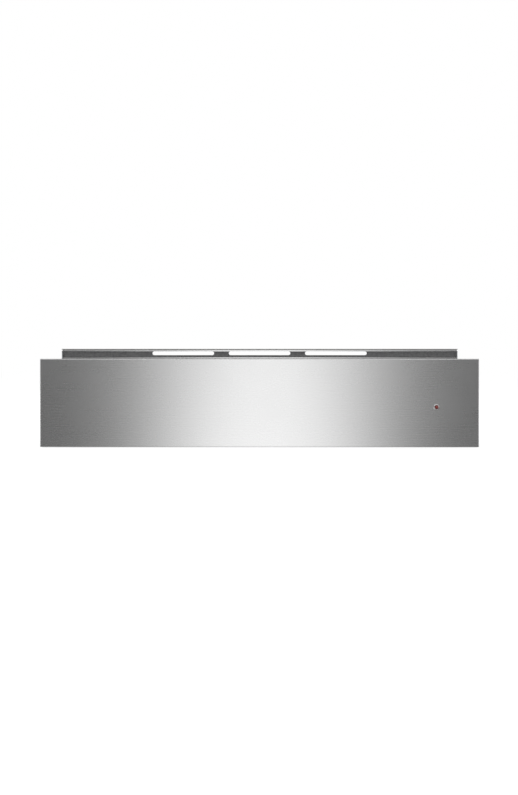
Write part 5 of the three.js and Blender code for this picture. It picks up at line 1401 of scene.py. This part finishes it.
fan_aluminium = metal("fan_aluminium", (0.58, 0.58, 0.59), (0.74, 0.74, 0.75), 300.0, (0.3, 0.5), film=0.15,
                      depth=0.02)
motor_iron = metal("motor_iron", (0.14, 0.14, 0.15), (0.24, 0.24, 0.25), 500.0, (0.4, 0.6), film=0.15,
                   depth=0.02)
copper = metal("copper_winding", (0.40, 0.13, 0.05), (0.62, 0.25, 0.11), 700.0, (0.25, 0.45), film=0.15,
               depth=0.02, slot="motor_iron")

fan_radius = (fan_high.x - fan_low.x) / 2
fan_back = fan_low.y + FAN_DEPTH
hub_front, plate_front = fan_back - FAN_DEPTH / 2, fan_back - FAN_PLATE
wheel_at = (0, 0, fan_z)
wheel = rounded(
    [(0, hub_front), (HUB, hub_front), (HUB, plate_front), (fan_radius, plate_front), (fan_radius, fan_back),
     (AXLE, fan_back), (AXLE, fan_high.y), (0, fan_high.y)],
    (1, 2, 0.3, 0.3, 0.5, 0.4),
)
turned("fan_plate", wheel, "y", wheel_at, fan_aluminium, "fan", "fan_wheel", WHEEL_SIDES)

# Each blade is a strip bent to a quarter-wave hollow, set back against the turning.
steps = (np.linspace(0, 1, count) for count in BLADE_GRID)
reach, rise, number = np.meshgrid(*steps, np.arange(FAN_BLADES), indexing="ij")
blade_r = fan_radius * (BLADE_FROM + BLADE_REACH * reach)
blade_turn = 2 * np.pi * number / FAN_BLADES + BLADE_SWEEP * reach + BLADE_HOLLOW * np.sin(np.pi * reach)
blade_y = fan_low.y + (FAN_DEPTH - FAN_PLATE) * rise
points = np.stack([blade_r * np.cos(blade_turn), blade_y, fan_z + blade_r * np.sin(blade_turn)], axis=-1)
index = np.arange(reach.size).reshape(reach.shape)
quads = np.stack([index[:-1, :-1], index[1:, :-1], index[1:, 1:], index[:-1, 1:]], axis=-1).reshape(-1, 4)
blades = mesh_piece("fan_blades", points, quads, fan_aluminium, "fan", "fan_wheel")
wall_and_edges(blades, BLADE_SHEET, True, 0.1)

# The motor's iron is a stack of punched plates with a wound coil on its lower leg.
STACK = (29, 25, 15)  # half width, half height and depth
COIL = (15, 11, 24)  # half width, half height and depth
STANDOFF = 9
PLATES = 20
PLATE_EDGE = ((0.25, 0), (0, 0.15), (0, 0.85), (0.25, 1))  # inset, and share of the plate's thickness
PLATE_CORNER = 3
COIL_CORNER = 4
WINDINGS = 16
WINDING_HOLLOW = 0.45
LEG = (3, 6, 1)  # radius, inset from the stack's side and length behind it
BEARING = (10, 6, 2)  # its two radii and the depth of the wider part
BOSS = 3

stack_y = (box_back + STANDOFF, box_back + STANDOFF + STACK[2])
inset, share = np.tile(PLATE_EDGE, (PLATES, 1)).T
number = np.repeat(np.arange(PLATES), len(PLATE_EDGE))
plate = np.column_stack([inset, stack_y[0] + STACK[2] / PLATES * (number + share)])
low = (-STACK[0], stack_y[0], fan_z - STACK[1])
high = (STACK[0], stack_y[1], fan_z + STACK[1])
carried("motor_plates", low, high, "y", PLATE_CORNER, plate, motor_iron, "chassis", "fan_motor")

middle = np.array([0, sum(stack_y) / 2, fan_z - STACK[1]])
half = np.array([COIL[0], COIL[2] / 2, COIL[1]])
wire_x = np.linspace(-COIL[0], COIL[0], WINDINGS * 8 + 1)
hollow = WINDING_HOLLOW * (1 - abs(np.sin(np.pi * WINDINGS * (wire_x / COIL[0] + 1) / 2)))
winding = np.column_stack([hollow, wire_x])
carried("motor_coil", middle - half, middle + half, "x", COIL_CORNER, winding, copper, "chassis", "fan_motor")

radius, inset, beyond = LEG
foot, end = box_back + GAP, stack_y[1] + beyond
leg = rounded([(0, foot), (radius, foot), (radius, end), (0, end)], 0.6)
for side, sign in SIDES:
    turned(f"motor_leg_{side}", leg, "y", (sign * (STACK[0] - inset), 0, fan_z), zinc_plated, "chassis")
motor_end = box("fan_motor")[1].y
wide, narrow, deep = BEARING
front, back = stack_y
bearing = [(0, back), (wide, back), (wide, back + deep), (narrow, motor_end), (0, motor_end)]
turned("motor_bearing", rounded(bearing, (0.5, 0.8, 0.8)), "y", wheel_at, zinc_plated, "chassis", "fan_motor")
bore = AXLE + GAP
boss = rounded([(bore, front - BOSS), (wide, front - BOSS), (wide, front), (bore, front)], (0.8, 0.1))
turned("motor_boss", [*boss, boss[0]], "y", wheel_at, zinc_plated, "chassis")
softened("cutout_disc", "overheat_cutout", dark_plastic, "chassis", 0.25)


# ---------------------------------------------------------------- mains terminal, gland and curly lead
# The mains come in through a ribbed gland to a terminal block. From there a curly lead runs to a tab on the
# tub.
TERMINAL_CORNER = 2
WELLS = 3
WELL_INSET = 9
TERMINAL = (2.6, 2.2, 0.4)  # radius of a screw's shank and head, and half width of its slot
NUT_DEPTH = 4
NUT = (11, 10.3, 7, 0.5)  # radius of its corners, of its faces' edge and of its bore, and depth of that edge
NUT_FLAT = 9.53
GLAND = (7, 3.6)  # radius outside and of its bore
GLAND_RIBS = 24
GLAND_SIDES = 144
NUT_SIDES = 96
WIRE = 1.3
WIRE_SIDES = 10
CURLS = 38
CURL_SAMPLES = 20
LEAD_END = 5  # straight wire at each end
TAB = 2
TAB_HALF = 4.4
TAB_MARGIN = 1

low, high = box("terminal_block")
foot, top = low.z, high.z
step = foot + 0.55 * (top - foot)
profile = [(0.6, foot), (0, foot + 0.6), (0, step), (0.8, step + 0.4), (0.8, top - 3), (0, top - 2.6),
           (0, top - 0.8), (0.8, top), (3.2, top), (3.6, top - 1.2)]
carried("terminal_housing", low, high, "z", TERMINAL_CORNER, profile, pale_plastic, "chassis",
        "terminal_block")

well_z = top - 1.2
shank, radius, cut = TERMINAL
crown = radius * np.linspace(1, 0, 12)[1:]
head = [(0, well_z - 1), (shank, well_z - 1), (shank, well_z + 0.5), (radius, well_z + 0.9),
        *zip(crown, 0 * crown + well_z + 0.9)]


def groove(theta, r, h):
    """A slot for the driver across the head of a terminal's screw."""
    sunk = (abs(r * np.cos(theta)) < cut) & (h > well_z + 0.7) & (r < radius - 0.1)
    return r, h - 0.7 * sunk


for number, x in enumerate(low.x + (high.x - low.x) * (np.arange(WELLS) + 0.5) / WELLS):
    for end, y in (("in", low.y + WELL_INSET), ("out", high.y - WELL_INSET)):
        turned(f"terminal_screw_{end}_{number}", head, "z", (x, y, 0), brass, "chassis", None, 48, groove)

low, high = box("cable_gland")
nut_foot = box("rear_panel")[1].y + GAP
nut_top = nut_foot + NUT_DEPTH
outer, bore = GLAND
barrel = rounded(
    [(bore, low.y), (outer, low.y), (outer, nut_top), (6.6, high.y - 1.4), (5.2, high.y), (bore, high.y)],
    (0.4, 0.3, 0.6, 0.5),
)
thread_end = high.y - 1.6
gland_at = (gland.x, 0, gland.z)


def thread(theta, r, h):
    """Ribs for the fingers: a small cosine on the radius behind the nut."""
    outside = (h > nut_top + 0.2) & (h < thread_end) & (r > 6)
    return r + 0.25 * np.cos(GLAND_RIBS * theta) * outside, h


def hexagon(theta, r, h):
    """Six flats with the corners just cut: the radius to a flat, no more than the corners' own."""
    flat = NUT_FLAT / np.cos(theta % (np.pi / 3) - np.pi / 6)
    return np.where(r > 8, np.minimum(flat, r), r), h


barrel = resampled(np.array([*barrel, barrel[0]]), 50)
turned("gland_barrel", barrel, "y", gland_at, dark_plastic, "chassis", "cable_gland", GLAND_SIDES, thread)
corners, edge, bore, slope = NUT
nut = [(bore, nut_foot), (edge, nut_foot), (corners, nut_foot + slope), (corners, nut_top - slope),
       (edge, nut_top), (bore, nut_top), (bore, nut_foot)]
turned("gland_nut", nut, "y", gland_at, dark_plastic, "chassis", "cable_gland", NUT_SIDES, hexagon)

low, high = box("curly_lead")
lead = middle_of("curly_lead")
length = high.y - low.y
samples = np.linspace(0, 1, CURLS * CURL_SAMPLES + 1)
turn = 2 * np.pi * CURLS * samples
swell = np.clip(np.minimum(samples, 1 - samples) * length / LEAD_END, 0, 1)
swell = swell * swell * (3 - 2 * swell) * ((high.x - low.x) / 2 - WIRE)
outwards = np.column_stack([np.cos(turn), 0 * turn, np.sin(turn)])
path = outwards * swell[:, None] + (lead.x, low.y, lead.z) + samples[:, None] * (0, length, 0)
wire = swept("curly_wire", path, outwards, WIRE, WIRE_SIDES, silicone, None, "curly_lead")
start, end = (tuple(MM * c for c in (lead.x, y, lead.z)) for y in (high.y, low.y))
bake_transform(wire)

# The tab that carries the lead's moving end is riveted to the tub's right side.
tab_y = low.y - GAP - TAB
low, high = box("drawer_side_right")
pressed_sheet(
    "lead_tab", straight(low.x + TUB_FLANGE - 1, high.x), straight(lead.z - TAB_HALF, lead.z + TAB_HALF),
    "xzy", tab_y, satin_across, "drawer", "drawer_side_right", TAB, slots=[(lead.x, lead.z, WIRE + GAP)],
    margin=TAB_MARGIN,
)


# ---------------------------------------------------------------- push latch
# Under the tub's floor a plastic latch holds a sprung lever. A push on the front trips it, and it lets go
# of the striker riveted to the floor.
softened("latch_tray", "latch_body", dark_plastic, "chassis", 0.3)
softened("latch_arm", "latch_lever", zinc_plated, "latch", 0.3)
softened("striker_plate", "latch_striker", zinc_plated, "drawer", 0.25)
